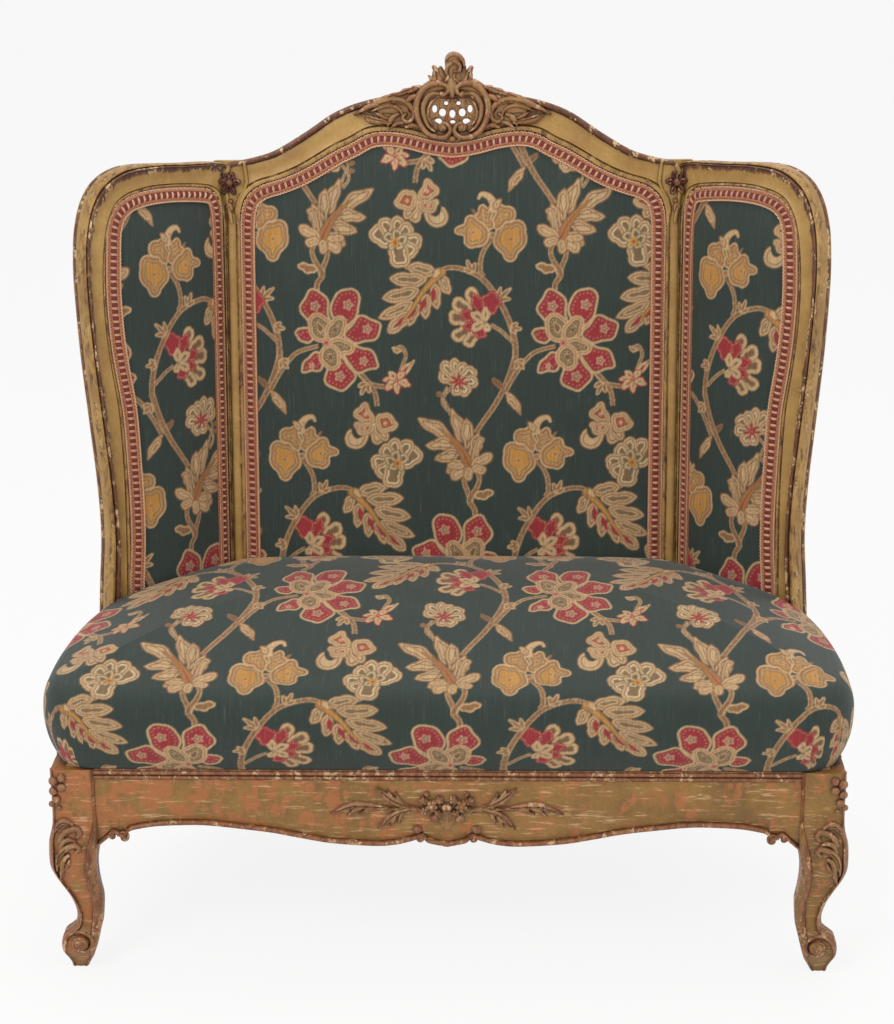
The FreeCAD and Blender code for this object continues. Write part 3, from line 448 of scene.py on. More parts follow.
@dataclass(frozen=True)
class GiltFinish:
    """Old gilding on gesso and red bole, rubbed at the edges, with dirt and painted shade darkening the
    hollows.
    """

    name: str
    leaf: str
    leaf_dark: str
    rim: str
    rim_dark: str
    gesso: str
    bole: str
    bole_share: float = 0.5
    scratches: float = 0.0
    left_wear: float = 0.0
    cloud_mm: float = 55
    crack_mm: float = 5
    brush_mm: float = 9
    patch_mm: float = 28
    scratch_mm: float = 7
    chip_mm: float = 16
    # Reach of the ambient occlusion that paints shade and dirt into the hollows
    dirt_and_shade_mm: float = 9
    depth_mm: float = 0.35
    # Most of the leaf is gone under size and dirt, so little of it still shines as metal
    metallic: float = 0.12

    def make(self) -> bpy.types.Material:
        """Build the material.

        Returns:
            The finish, which reads the rim attribute of its mesh.
        """
        material, n, at = new_material(self.name)
        stretched = lambda scale: n(MAPPING, {"Vector": at, "Scale": scale})
        # Clouds of thinner leaf, fine cracks of the gesso and brush marks along the wood
        cloudy = n(NOISE, sized(at, self.cloud_mm, 4, 0.6))
        fine = n(NOISE, sized(at, self.crack_mm, 4, 0.65))
        grain = n(NOISE, sized(stretched((1.0, 1.0, 0.35)), self.brush_mm, 5, 0.7))
        leaf = n(MIX, {SHARE: n(RANGE, [cloudy, 0.36, 0.66]), FIRST: linear(self.leaf),
                       SECOND: linear(self.leaf_dark)}, **COLOR)
        # Patches where the leaf is rubbed through to the bole, more of them on the left
        rubbed = n(MATH, [n(NOISE, sized(at, self.patch_mm, 4, 0.62)), 0.6], operation="MULTIPLY")
        rubbed = n(MATH, [rubbed, n(MATH, [grain, 0.4], operation="MULTIPLY")], operation="ADD")
        if self.left_wear:
            across = n("ShaderNodeSeparateXYZ", [at])
            rubbed = n(MATH, [rubbed, n(RANGE, [across, -0.5, 0.05, self.left_wear, 0.0])], operation="ADD")
        low = 0.66 - self.bole_share * 0.2
        leaf = n(MIX, {SHARE: n(RANGE, [rubbed, low, low + 0.07, 0.0, 0.8]), FIRST: leaf,
                       SECOND: linear(self.bole)}, **COLOR)
        if self.scratches:
            long = n(NOISE, sized(stretched((0.16, 1.0, 1.6)), self.scratch_mm, 4, 0.75))
            leaf = n(MIX, {SHARE: n(RANGE, [long, 0.56, 0.64, 0.0, self.scratches]), FIRST: leaf,
                           SECOND: linear(self.gesso)}, **COLOR)
        # Worn edges, chipped down to the gesso in places
        rim = n(MIX, {SHARE: n(RANGE, [grain, 0.35, 0.6]), FIRST: linear(self.rim),
                      SECOND: linear(self.rim_dark)}, **COLOR)
        chips = n(NOISE, sized(stretched((1.0, 1.0, 0.5)), self.chip_mm, 5, 0.72))
        chips = n(MATH, [chips, n(RANGE, [fine, 0.3, 0.6, 0.8, 1.08])], operation="MULTIPLY")
        rim = n(MIX, {SHARE: n(RANGE, [chips, 0.55, 0.6, 0.0, 0.9]), FIRST: rim,
                      SECOND: linear(self.gesso)}, **COLOR)
        edge = n("ShaderNodeAttribute", output="Fac", attribute_name="rim")
        edge = n(MATH, [edge, n(RANGE, [grain, 0.3, 0.7, -0.24, 0.24])], operation="ADD")
        color = n(MIX, {SHARE: n(RANGE, [edge, 0.38, 0.62]), FIRST: leaf, SECOND: rim}, **COLOR)
        tint = n("ShaderNodeCombineColor", [n(RANGE, [fine, 0.25, 0.75, 0.86, 1.1])] * 3)
        color = n(MIX, {SHARE: 1.0, FIRST: color, SECOND: tint}, blend_type="MULTIPLY", **COLOR)
        # Dirt and painted shade in the hollows: ambient occlusion darkens the colour towards dark brown
        # there
        dirt_and_shade = n("ShaderNodeAmbientOcclusion", {"Distance": self.dirt_and_shade_mm * MM}, "AO", samples=4)
        color = n(MIX, {SHARE: n(RANGE, [dirt_and_shade, 0.35, 0.85, 0.72, 0.0]), FIRST: color,
                        SECOND: linear("#33200F")}, **COLOR)
        height = n(MATH, [n(MATH, [fine, 0.5], operation="MULTIPLY"), grain], operation="ADD")
        bump = n(BUMP, {"Strength": 0.7, "Distance": self.depth_mm * MM, "Height": height})
        n(SHADER, {"Base Color": color, "Roughness": n(RANGE, [grain, 0.3, 0.7, 0.38, 0.56]),
                   "Metallic": self.metallic, "Normal": bump})
        return material


@dataclass(frozen=True)
class ClothFinish:
    """Plain woven cloth with long slubs."""

    name: str
    color: str
    thread_mm: float
    roughness: float = 0.85
    depth_mm: float = 0.25

    def make(self) -> bpy.types.Material:
        """Build the material; its streaks are two threads wide, because single ones don't show.

        Returns:
            The finish.
        """
        material, n, at = new_material(self.name)
        base = linear(self.color)
        dark = tuple(c * 0.72 for c in base[:3]) + (1.0,)
        along = n(MAPPING, {"Vector": at, "Scale": (1.0, 1.0, 0.08)})
        streak = n(NOISE, sized(along, self.thread_mm * 2, 3, 0.6))
        color = n(MIX, {SHARE: n(RANGE, [streak, 0.35, 0.65]), FIRST: dark, SECOND: base}, **COLOR)
        n(SHADER, {"Base Color": color, "Roughness": self.roughness, "Sheen Weight": 0.15,
                   "Normal": n(BUMP, {"Strength": 0.6, "Distance": self.depth_mm * MM, "Height": streak})})
        return material


@dataclass(frozen=True)
class FloralFinish:
    """Printed and woven floral cover: coloured yarns on a slubbed green ground."""

    name: str = "floral_cover"
    slub_mm: float = 2.6
    warp_mm: float = 1.2
    weft_mm: float = 1.0
    fade_mm: float = 70

    def make(self) -> bpy.types.Material:
        """Build the material from the yarn colour attribute and the fabric UV map.

        Returns:
            The finish; its threads are about 1 mm, twice the real ones, so that they show.
        """
        material, n, _ = new_material(self.name)
        at = n("ShaderNodeUVMap", uv_map="fabric")
        stretched = lambda scale: n(MAPPING, {"Vector": at, "Scale": scale})
        slub = n(NOISE, sized(stretched((1.0, 0.045, 1.0)), self.slub_mm, 4, 0.7))
        fine = n(NOISE, sized(stretched((1.0, 0.35, 1.0)), self.warp_mm, 2, 0.6))
        weft = n(NOISE, sized(stretched((0.3, 1.0, 1.0)), self.weft_mm, 2, 0.6))
        speck = n(MATH, [n(MATH, [fine, 0.5], operation="MULTIPLY"),
                         n(MATH, [weft, 0.5], operation="MULTIPLY")], operation="ADD")
        shade = n(MATH, [n(RANGE, [slub, 0.3, 0.7, 0.74, 1.2]), n(RANGE, [speck, 0.35, 0.65, 0.84, 1.12])],
                  operation="MULTIPLY")
        faded = n(RANGE, [n(NOISE, sized(at, self.fade_mm, 3, 0.5)), 0.3, 0.7, 0.92, 1.08])
        shade = n(MATH, [shade, faded], operation="MULTIPLY")
        yarn = n("ShaderNodeAttribute", output="Color", attribute_name="yarn")
        cloth = n(MIX, {SHARE: 1.0, FIRST: yarn, SECOND: n("ShaderNodeCombineColor", [shade] * 3)},
                  blend_type="MULTIPLY", **COLOR)
        cloth = n(MIX, {SHARE: n(RANGE, [slub, 0.6, 0.74, 0.0, 0.2]), FIRST: cloth,
                        SECOND: linear("#8C8768")}, **COLOR)
        weave = n(MATH, [slub, speck], operation="ADD")
        n(SHADER, {"Base Color": cloth, "Roughness": 0.78, "Sheen Weight": 0.12,
                   "Normal": n(BUMP, {"Strength": 0.55, "Distance": 0.18 * MM, "Height": weave})})
        return material


@dataclass(frozen=True)
class YarnFinish:
    """Twisted braid yarn."""

    name: str
    color: str
    dark: str

    def make(self) -> bpy.types.Material:
        """Build the material; its fibres are drawn 1.6 mm long, as coarse as they need to show.

        Returns:
            The finish.
        """
        material, n, at = new_material(self.name)
        fibre = n(NOISE, sized(at, 1.6, 3, 0.65))
        color = n(MIX, {SHARE: n(RANGE, [fibre, 0.35, 0.65]), FIRST: linear(self.dark),
                        SECOND: linear(self.color)}, **COLOR)
        n(SHADER, {"Base Color": color, "Roughness": 0.62, "Sheen Weight": 0.2,
                   "Normal": n(BUMP, {"Strength": 0.6, "Distance": 0.25 * MM, "Height": fibre})})
        return material


@dataclass(frozen=True)
class PlainFinish:
    """Plain wood or steel with a light grain."""

    name: str
    color: str
    dark: str
    roughness: float
    metallic: float = 0.0
    grain_mm: float = 4.0

    def make(self) -> bpy.types.Material:
        """Build the material with its grain running up.

        Returns:
            The finish.
        """
        material, n, at = new_material(self.name)
        grain = n(NOISE, sized(n(MAPPING, {"Vector": at, "Scale": (1.0, 1.0, 0.1)}), self.grain_mm, 4, 0.6))
        color = n(MIX, {SHARE: n(RANGE, [grain, 0.3, 0.7]), FIRST: linear(self.color),
                        SECOND: linear(self.dark)}, **COLOR)
        n(SHADER, {"Base Color": color, "Roughness": self.roughness, "Metallic": self.metallic})
        return material


class Finishes:
    """Every finish of the settee, made once."""

    def __init__(self) -> None:
        # Water-gilt beech, leaf burnished on red bole: straw gold with a soft gleam, red-brown at the edges
        """Make each finish."""
        self.gilt = GiltFinish("gilt_wood_worn", "#B08A4A", "#977137", "#74452C", "#52301D", "#D0AE80",
                               "#96592F", 0.25).make()
        # The same gilding on the seat rail and legs: browner, with scratches and patches of orange bole
        self.rail_gilt = GiltFinish("gilt_rail_worn", "#936C33", "#775627", "#A06840", "#6E4024", "#C9A47A",
                                    "#AA6639", 0.72, 0.75, 0.075).make()
        # The same on carving: pinkish gesso shows on the high parts, dirt and painted shade darken the cuts
        self.carved = GiltFinish("gilt_carving_worn", "#9C7547", "#7E582F", "#A67452", "#7A4A2F", "#C8A07C",
                                 "#A5622F", 0.5).make()
        # Corner rosettes, bole that has lost its leaf: dull red-brown with traces of gold
        self.rosette = GiltFinish("rosette_bole", "#774331", "#593024", "#6B3C2E", "#47241C", "#B08458",
                                  "#7D4029", 0.3).make()
        # Printed slubbed cotton: matt dark green with warm flowers, streaked along the warp
        self.floral = FloralFinish().make()
        # Cotton and viscose gimp: salmon-gold cords, dark red ladder and cream loops with a silky nap
        self.braid_gold = YarnFinish("braid_salmon_gold", "#BF7A4E", "#8C4C2A").make()
        self.braid_red = YarnFinish("braid_dark_red", "#84191A", "#520D0F").make()
        self.braid_cream = YarnFinish("braid_cream", "#E6BE9C", "#B98763").make()
        # Plain-woven cotton on the outsides: matt green, faintly streaked
        self.outside = ClothFinish("plain_green_cloth", "#2A3C35", 1.0).make()
        # Jute webbing: coarse brown threads; dust cloth: matt black
        self.jute = ClothFinish("jute_webbing", "#9C8258", 2.4, 0.9, 0.5).make()
        self.black = ClothFinish("black_dust_cloth", "#1E1E1C", 0.8).make()
        # Sawn beech: pale and dry. Drawn spring wire: oily grey. Turned screws: bright. Blued tacks: dark
        self.beech = PlainFinish("beech_raw", "#B58F63", "#9A7549", 0.62).make()
        self.steel = PlainFinish("spring_steel_oiled", "#56544F", "#3E3C39", 0.42, 0.9).make()
        self.screw = PlainFinish("screw_steel", "#8B8880", "#6D6A64", 0.38, 1.0).make()
        self.tack = PlainFinish("tack_steel_blued", "#3B3F44", "#2A2D31", 0.4, 0.9).make()


# Finish of each material slot of the record, for the CAD nodes that no piece below replaces
SLOT_FINISH = {
    "gilt_wood": "gilt", "seat_rail_gilt": "rail_gilt", "carved_gilt": "carved", "rosette_red": "rosette",
    "beech": "beech", "floral_cloth": "outside", "gimp_braid": "braid_gold", "plain_green_cloth": "outside",
    "jute": "jute", "black_cloth": "black", "spring_steel": "steel", "screw_steel": "screw",
    "tack_steel": "tack",
}


# The printed pattern: one repeat of a trailing vine, drawn in its own units


class Motif:
    """Shapes of one motif, drawn back to front. Units are pattern units, y downwards."""

    def __init__(self) -> None:
        """Start with no shapes."""
        self.shapes: list = []

    def fill(self, outline: np.ndarray, yarn: Yarn) -> None:
        """Add one filled outline."""
        self.shapes.append((np.asarray(outline, float), yarn))

    def nested(self, outline: np.ndarray, *layers: tuple) -> None:
        """Add an outline and smaller copies of it.

        Args:
            outline: Closed outline.
            layers: Pairs of inset in pattern units and yarn.
        """
        for inset, yarn in layers:
            self.fill(shrunk(outline, inset), yarn)

    def dot(self, x: float, y: float, r: float, yarn: Yarn, sides: int = 6) -> None:
        """Add a dot."""
        a = np.arange(sides) * 2 * math.pi / sides
        self.fill(np.stack([x + r * np.cos(a), y + r * np.sin(a)], 1), yarn)

    def stem(self, points: list, start: float, end: float) -> None:
        """Add a stem with pale edges and a dotted dark middle.

        Args:
            points: Its middle line.
            start: Width at its start.
            end: Width at its end.
        """
        line = smooth_curve(points, steps=5)
        self.fill(ribbon(line, start, end), Yarn.CREAM)
        self.fill(ribbon(line, max(start - 1.5, start * 0.5), max(end - 1.5, end * 0.5)), Yarn.STEM)
        mid = resample(line, pitch=2.6)
        for k, (x, y) in enumerate(mid[1:-1]):
            self.dot(x, y, 0.5 + 0.15 * (k % 2), Yarn.BROWN if k % 3 else Yarn.CREAM, 5)

    def petal(self, base: tuple, tip: tuple, width: float, layers: tuple, point: float = 0.0,
              lean: float = 0.0, frill: int = 0) -> np.ndarray:
        """Add a petal.

        Args:
            base: Where it starts.
            tip: Where it ends.
            width: Its full width.
            layers: Pairs of inset and yarn.
            point: 0 for a round tip, 1 for a sharp one.
            lean: Sideways bend of the tip as a share of its length.
            frill: Number of scallops along its edge.
        Returns:
            Its outline.
        """
        outline = ovate(base, tip, width, point, lean, frill)
        self.nested(outline, *layers)
        return outline


def shrunk(outline: np.ndarray, inset: float) -> np.ndarray:
    """Move a closed outline inwards.

    Args:
        outline: Closed outline.
        inset: Distance to move.
    Returns:
        The smaller outline.
    """
    if not inset:
        return outline
    centre = outline.mean(0)
    reach = np.linalg.norm(outline - centre, axis=1)
    limit = np.maximum(reach - inset * 1.4, reach * 0.2)[:, None]
    v = outline + left_of(outline, True) * inset - centre
    size = np.maximum(np.linalg.norm(v, axis=1, keepdims=True), 1e-9)
    return centre + v / size * np.minimum(size, np.maximum(limit, 0.01))


def ribbon(line: np.ndarray, start: float, end: float) -> np.ndarray:
    """Outline of a band along a line, start and end widths given."""
    across = left_of(line) * np.linspace(start, end, len(line))[:, None] / 2
    return np.vstack([line + across, (line - across)[::-1]])


def ovate(base: tuple, tip: tuple, width: float, point: float, lean: float, frill: int) -> np.ndarray:
    """Outline of one petal or leaf.

    Args:
        base: Where it starts.
        tip: Where it ends.
        width: Full width.
        point: 0 for a round tip, 1 for a sharp one.
        lean: Sideways bend of the tip as a share of its length.
        frill: Number of scallops.
    Returns:
        Its outline.
    """
    base, tip = np.array(base, float), np.array(tip, float)
    axis = tip - base
    side = np.array([-axis[1], axis[0]]) / np.linalg.norm(axis)
    t = np.array([0.0, 0.1, 0.24, 0.4, 0.56, 0.7, 0.82, 0.91, 0.97, 1.0])
    rounded = np.array([0.14, 0.42, 0.7, 0.9, 1.0, 0.98, 0.84, 0.62, 0.36, 0.0])
    sharp = np.array([0.14, 0.46, 0.82, 1.0, 0.96, 0.76, 0.5, 0.27, 0.12, 0.0])
    half = (rounded * (1 - point) + sharp * point) * width / 2
    left = base + axis * t[:, None] + side * (half + lean * np.linalg.norm(axis) * t ** 2)[:, None]
    right = base + axis * t[:, None] - side * (half - lean * np.linalg.norm(axis) * t ** 2)[:, None]
    outline = np.vstack([left, right[-2::-1]])
    if frill:
        ring = resample(outline, count=frill * 6, closed=True)
        wave = np.abs(np.sin(np.arange(len(ring)) * math.pi / 6))
        return ring - left_of(ring, True) * (wave * width * 0.13)[:, None]
    return drawn(outline, width * 0.045)


def drawn(outline: np.ndarray, amount: float, lobes: int = 0) -> np.ndarray:
    """Give an outline the unsteady line of a hand-cut block, with scallops where asked for.

    Args:
        outline: Closed outline.
        amount: Depth of the wander.
        lobes: Number of scallops, each three times as deep.
    Returns:
        The new outline.
    """
    ring = resample(outline, count=max(32, lobes * 8), closed=True)
    t = np.arange(len(ring)) / len(ring)
    phase = float(np.sum(outline[0]))
    wander = np.sin(2 * math.pi * 3 * t + phase) + 0.7 * np.sin(2 * math.pi * 5 * t + phase * 1.7)
    scallop = 4.5 * np.abs(np.sin(math.pi * lobes * t + 0.3)) - 1.5 if lobes else wander * 0.6
    return ring - left_of(ring, True) * (amount * (wander * 0.4 + scallop))[:, None]


# Common layerings, in pattern units from the edge inwards
CREAM_LEAF = ((0, Yarn.TAN), (0.7, Yarn.CREAM), (1.9, Yarn.BROWN), (2.7, Yarn.CREAM), (4.0, Yarn.TAUPE))
RED_PETAL = ((0, Yarn.CREAM), (1.4, Yarn.BROWN), (2.0, Yarn.RED))
GOLD_PETAL = ((0, Yarn.CREAM), (1.2, Yarn.BROWN), (1.7, Yarn.OCHRE), (3.3, Yarn.CREAM), (3.9, Yarn.OLIVE),
              (4.6, Yarn.GOLD))
BUSY_PETAL = ((0, Yarn.TAN), (0.6, Yarn.CREAM), (1.9, Yarn.BROWN), (2.7, Yarn.PALE), (4.1, Yarn.TAUPE))


class Vine:
    """One column of the pattern: every motif around the big red flower at its origin."""

    def __init__(self) -> None:
        """Draw every motif, back to front."""
        self.m = Motif()
        self.stems()
        self.red_flower()
        self.dotted_flower()
        self.split_flower()
        self.bell_flower()
        self.heart_flower()
        self.gold_flower()
        self.double_flower()
        self.leaf_spray()
        self.acanthus()

    def stems(self) -> None:
        """Main vine, its branches and the small leaves on it."""
        m = self.m
        m.stem([(19, -180), (23, -170), (19, -161), (16, -152)], 2.0, 2.6)
        m.petal((22, -171), (30, -174), 4.5, ((0, Yarn.TAN), (1.0, Yarn.BROWN)))
        m.stem([(-9, -134), (-18, -147), (-28, -161), (-37, -177), (-44.5, -195), (-49, -210)], 4.6, 6.0)
        m.stem([(-10, -97), (-13, -90), (-11.5, -82), (-7, -74), (-4, -66)], 4.2, 5.4)
        m.stem([(3, -97), (2, -84), (-2, -74), (-4, -66)], 4.2, 5.4)
        m.stem([(-6, -74), (-3, -66), (-8, -58), (-9, -48)], 5.6, 5.0)
        m.petal((-8, -73), (-25, -68), 9.5, ((0, Yarn.CREAM), (1.2, Yarn.TAN)), 0.2, 0.42, 5)
        m.stem([(-8, 3), (-28, 9), (-39, 19), (-49, 33), (-57, 47)], 4.0, 4.6)
        m.stem([(-72, -18), (-62, -12), (-50, -1)], 3.4, 3.6)
        m.stem([(-108, 41), (-117, 50), (-120, 58), (-114, 67)], 2.8, 3.0)
        m.petal((-118, 52), (-126, 50), 4.5, ((0, Yarn.TAN), (1.0, Yarn.BROWN)))
        m.stem([(26, 22), (33, 30), (43, 40), (58, 43)], 5.0, 4.4)
        m.stem([(32, 28), (41, 38), (48, 49), (50, 62)], 4.6, 4.6)
        m.stem([(-25, 116), (-19, 124), (-15, 133), (-14, 146), (-17, 152)], 4.2, 4.8)
        m.stem([(70, 128), (66, 138), (56, 144), (46, 147)], 3.2, 3.4)
        m.stem([(-49, 232), (-48.5, 218), (-45, 202), (-38.5, 186), (-30, 171), (-21, 159), (-12, 151),
                (2, 145), (16, 143), (27, 147)], 5.8, 4.4)
        for base, tip in (((-33, 173), (-43, 164)), ((-45, 201), (-54, 203)), ((-6, 147), (-1, 137)),
                          ((-46, 18), (-39, 25)), ((40, 40), (34, 50))):
            self.leaflet(base, tip)
        m.petal((-58, 47), (-36, 66), 9, ((0, Yarn.TAN), (0.9, Yarn.CREAM), (2.2, Yarn.TAN)), 0.5, 0.25, 0)
        m.petal((-56, 50), (-47, 68), 8, CREAM_LEAF[:2] + ((2.0, Yarn.TAN),), 0.4, -0.2, 0)
        m.petal((-58, 44), (-72, 38), 7, ((0, Yarn.TAN), (1.0, Yarn.BROWN)), 0.1, 0.25, 0)

    def leaflet(self, base: tuple, tip: tuple) -> None:
        """Small leaf of three lobes on a stem.

        Args:
            base: Where it starts.
            tip: Where it ends.
        """
        b, d = np.array(base, float), np.array(tip, float) - base
        for inset in (0.0, 0.9):
            for turn, length in ((0.75, 0.85), (-0.75, 0.85), (0.0, 1.15)):
                c, s = math.cos(turn), math.sin(turn)
                end = b + length * np.array([c * d[0] - s * d[1], s * d[0] + c * d[1]])
                lobe = ovate(tuple(b - d * 0.15), tuple(end), 5.4, 0.35, 0.0, 0)
                self.m.fill(shrunk(lobe, inset), Yarn.STEM if inset else Yarn.CREAM)

    def speckle(self, outline: np.ndarray, inset: float, step: float, r: float, yarn: Yarn) -> None:
        """Row of dots just inside an outline.

        Args:
            outline: Closed outline.
            inset: Distance from the outline.
            step: Spacing of the dots.
            r: Radius.
            yarn: Its yarn.
        """
        ring = resample(shrunk(outline, inset), pitch=step, closed=True)
        for x, y in ring:
            self.m.dot(x, y, r, yarn, 5)

    def small_star(self, x: float, y: float, r: float, core: Yarn = Yarn.TAUPE) -> None:
        """Little five-lobed flower inside a petal.

        Args:
            x: Place across the pattern.
            y: Place down the pattern.
            r: Radius.
            core: Yarn of its middle.
        """
        a = np.arange(30) * 2 * math.pi / 30
        ring = r * (0.82 + 0.2 * np.cos(5 * a))
        star = np.stack([x + ring * np.cos(a), y + ring * np.sin(a)], 1)
        self.m.fill(star, Yarn.PINK)
        self.m.fill(shrunk(star, 0.9), core)
        self.m.dot(x, y, r * 0.22, Yarn.CREAM, 6)

    def red_flower(self) -> None:
        """Large flower of seven red petals about four cream hearts."""
        m = self.m
        petals = (((-8, -8), (-33, -6), 17, 0.9, 0.1), ((-2, 10), (-23, 31), 19, 0.7, 0.1),
                  ((-3, -10), (-16, -53), 30, 0.35, 0.0), ((10, -12), (30, -54), 30, 0.5, -0.08),
                  ((18, -7), (56, -18), 28, 0.6, 0.0), ((16, 5), (51, 26), 27, 0.6, -0.04),
                  ((6, 10), (18, 48), 31, 0.3, 0.0))
        for base, tip, width, point, lean in petals:
            outline = m.petal(base, tip, width, RED_PETAL, point, lean)
            self.speckle(outline, 3.7, 4.0, 0.75, Yarn.PINK)
            b, t = np.array(base, float), np.array(tip, float)
            mid = b + (t - b) * 0.6
            if width > 18:
                self.small_star(mid[0], mid[1], width * 0.19)
        for x, y, w in ((-11, -27, 22), (17, -24, 17), (27, 6, 15.5), (7, 25, 20)):
            heart = m.petal((x * 0.06, y * 0.06), (x, y), w,
                            ((0, Yarn.CREAM), (1.3, Yarn.RUST), (1.9, Yarn.CREAM), (3.1, Yarn.TAUPE)), 0.0,
                            0.0, 3)
            self.speckle(heart, 5.0, 3.2, 0.6, Yarn.PALE)
            m.nested(heart, (6.4, Yarn.CREAM), (7.4, Yarn.BROWN))
        for k in range(6):
            a = k * math.pi / 3 + 0.4
            m.petal((0, 0), (4.2 * math.cos(a), 4.2 * math.sin(a)), 2.8, ((0, Yarn.PINK), (0.6, Yarn.RUST)),
                    0.3)
        m.dot(0, 0, 1.5, Yarn.RED, 8)

    def dotted_flower(self) -> None:
        """Flower of cream petals among red ones with pale dots along their edges."""
        m = self.m
        cx, cy = -77.5, -20.0
        reds = (((-6, 12), 11), ((-17, 4), 8), ((-19, -8), 9), ((-9, -23), 9), ((7, -24), 15))
        creams = (((-30, 14), 13), ((-33, -6), 15), ((-18, 21), 12), ((-29, -20), 14), ((-15, -31), 13))
        for (x, y), w in creams:
            out = m.petal((cx + x * 0.45, cy + y * 0.45), (cx + x * 1.1, cy + y * 1.1), w,
                          ((0, Yarn.TAN), (0.6, Yarn.CREAM), (3.0, Yarn.TAUPE), (4.2, Yarn.BROWN)), 0.4, 0.0,
                          4)
            self.speckle(out, 2.2, 5.0, 0.4, Yarn.BROWN)
        for (x, y), w in reds:
            out = m.petal((cx + x * 0.3, cy + y * 0.3), (cx + x * 1.25, cy + y * 1.2), w * 1.15,
                          ((0, Yarn.RED),), 0.0, 0.0, 5)
            self.speckle(out, 1.2, 2.6, 0.55, Yarn.PALE)
        for x, y, w in ((-12, -9, 9.5), (1, -13, 9), (-12, 6, 9), (3, 8, 8)):
            m.petal((cx, cy), (cx + x * 1.15, cy + y * 1.15), w,
                    ((0, Yarn.CREAM), (2.6, Yarn.OLIVE), (3.4, Yarn.BROWN)), 0.4)
        m.dot(cx, cy, 2.0, Yarn.BROWN, 7)
        m.dot(cx, cy, 0.9, Yarn.PALE, 5)

    def split_flower(self) -> None:
        """Cream flower in two halves with a red heart."""
        m = self.m
        cx, cy = -104.0, 38.0
        for x, y, w, p in ((-20, -8, 13, 0.3), (-17, -20, 12, 0.2), (-5, -24, 11, 0.5), (5, -20, 11, 0.3),
                           (17, -13, 14, 0.3), (20, 0, 13, 0.4), (10, 13, 13, 0.3), (-3, 14, 11, 0.5)):
            m.petal((cx, cy), (cx + x, cy + y), w, BUSY_PETAL, p, 0.0, 4)
        for a in range(0, 360, 51):
            c, s = math.cos(math.radians(a + 20)), math.sin(math.radians(a + 20))
            m.petal((cx, cy), (cx + 10 * c, cy + 9 * s), 2.6, ((0, Yarn.RED),), 0.6)
        m.dot(cx, cy, 2.6, Yarn.RED, 7)
        m.dot(cx, cy, 0.9, Yarn.GOLD, 5)

    def bell_flower(self) -> None:
        """Small red and cream flower with a hooked stem."""
        m = self.m
        m.stem([(72, 32), (76, 21), (79, 12), (75, 4), (68, 6)], 3.2, 3.6)
        m.petal((75, 8), (65, 8), 6, ((0, Yarn.CREAM), (1.2, Yarn.TAN)), 0.2, 0.3)
        for x, y, w, p, red in ((-15, 0, 9, 0.6, False), (-12, 10, 10, 0.3, False), (0, 15, 9, 0.6, False),
                                (18, -20, 8, 1.0, True), (14, 6, 10, 0.4, False), (-8, -8, 8, 0.6, True),
                                (8, -9, 9, 0.4, False)):
            layers = ((0, Yarn.CREAM), (2.0, Yarn.RED)) if red else ((0, Yarn.RED), (0.8, Yarn.CREAM),
                                                                     (3.2, Yarn.TAUPE))
            m.petal((70, 36), (70 + x, 36 + y), w, layers, p)
        m.dot(70, 36, 2.2, Yarn.RED, 7)
        m.dot(70, 36, 0.8, Yarn.PALE, 5)

    def heart_flower(self) -> None:
        """Three rust hearts on cream petals, with a crescent leaf."""
        m = self.m
        crescent = smooth_curve([(24, 84), (19, 88), (17, 95), (20, 102), (28, 105), (35, 103), (40, 97),
                                 (42, 89), (37, 90), (31, 94), (25, 91)], True, 3)
        m.nested(crescent, (0, Yarn.TAN), (0.7, Yarn.CREAM), (2.2, Yarn.TAUPE), (3.0, Yarn.CREAM))
        for x, y, w in ((52, 100, 13), (61, 96, 10)):
            m.petal((47, 80), (x, y), w, CREAM_LEAF[:3] + ((2.8, Yarn.CREAM),), 0.4, 0.0, 4)
        hearts = (([(47, 79), (41, 60), (33, 61), (27, 68), (30, 76)], (38, 70)),
                  ([(47, 80), (30, 78), (27, 84), (33, 90), (42, 90)], (37, 84)),
                  ([(48, 80), (52, 69), (62, 70), (71, 79), (63, 88), (54, 88)], (58, 79)))
        for outline, middle in hearts:
            petal = drawn(smooth_curve(outline, True, 4), 0.45, 4)
            m.nested(petal, (0, Yarn.TAN), (0.7, Yarn.CREAM), (1.9, Yarn.TAUPE), (2.5, Yarn.CREAM),
                     (3.7, Yarn.RUST))
            self.small_star(middle[0], middle[1], 2.6, Yarn.RUST)
        m.dot(47, 80, 1.5, Yarn.CREAM, 6)

    def gold_flower(self) -> None:
        """Four gold lobes about a small eye, with a curled leaf on top."""
        m = self.m
        cx, cy = -26.0, 112.0
        for x, y in ((-4, 12), (8, 11), (18, -22)):
            m.petal((cx, cy), (cx + x * 1.15, cy + y * 1.15), 6, ((0, Yarn.TAN), (1.2, Yarn.BROWN)), 0.7)
        lobes = (
            [(-2, -3), (-10, -9), (-19, -14), (-28, -11), (-33, -3), (-30, 7), (-26, 17), (-19, 23),
             (-11, 21), (-6, 13), (-1.5, 4)],
            [(-2, -5), (-11, -10), (-20, -16), (-23, -21), (-17, -25), (-9, -28), (-3, -24), (-1.5, -14)],
            [(0.5, -5), (0, -15), (1.5, -24), (8, -27), (14, -23), (16, -17), (11, -11), (4, -5)],
            [(2.5, -2), (9, -9), (15, -16), (23, -17), (28, -11), (35, -4), (28, 1), (26, 7), (19, 12),
             (12, 10), (5, 4)],
        )
        for lobe in lobes:
            outline = drawn(smooth_curve(np.array(lobe, float) * 1.03 + (cx, cy), True, 3), 0.7, 5)
            m.nested(outline, *GOLD_PETAL)
            x, y = outline.mean(0)
            for k in range(5):
                a = k * 1.2566
                m.dot(x + 2.6 * math.cos(a), y + 2.6 * math.sin(a), 1.0, Yarn.CREAM, 5)
                m.dot(x + 2.6 * math.cos(a), y + 2.6 * math.sin(a), 0.5, Yarn.BROWN, 5)
            m.dot(x, y, 1.1, Yarn.BROWN, 5)
            self.speckle(outline, 6.4, 4.0, 0.45, Yarn.CREAM)
        m.dot(cx, cy, 3.2, Yarn.CREAM, 9)
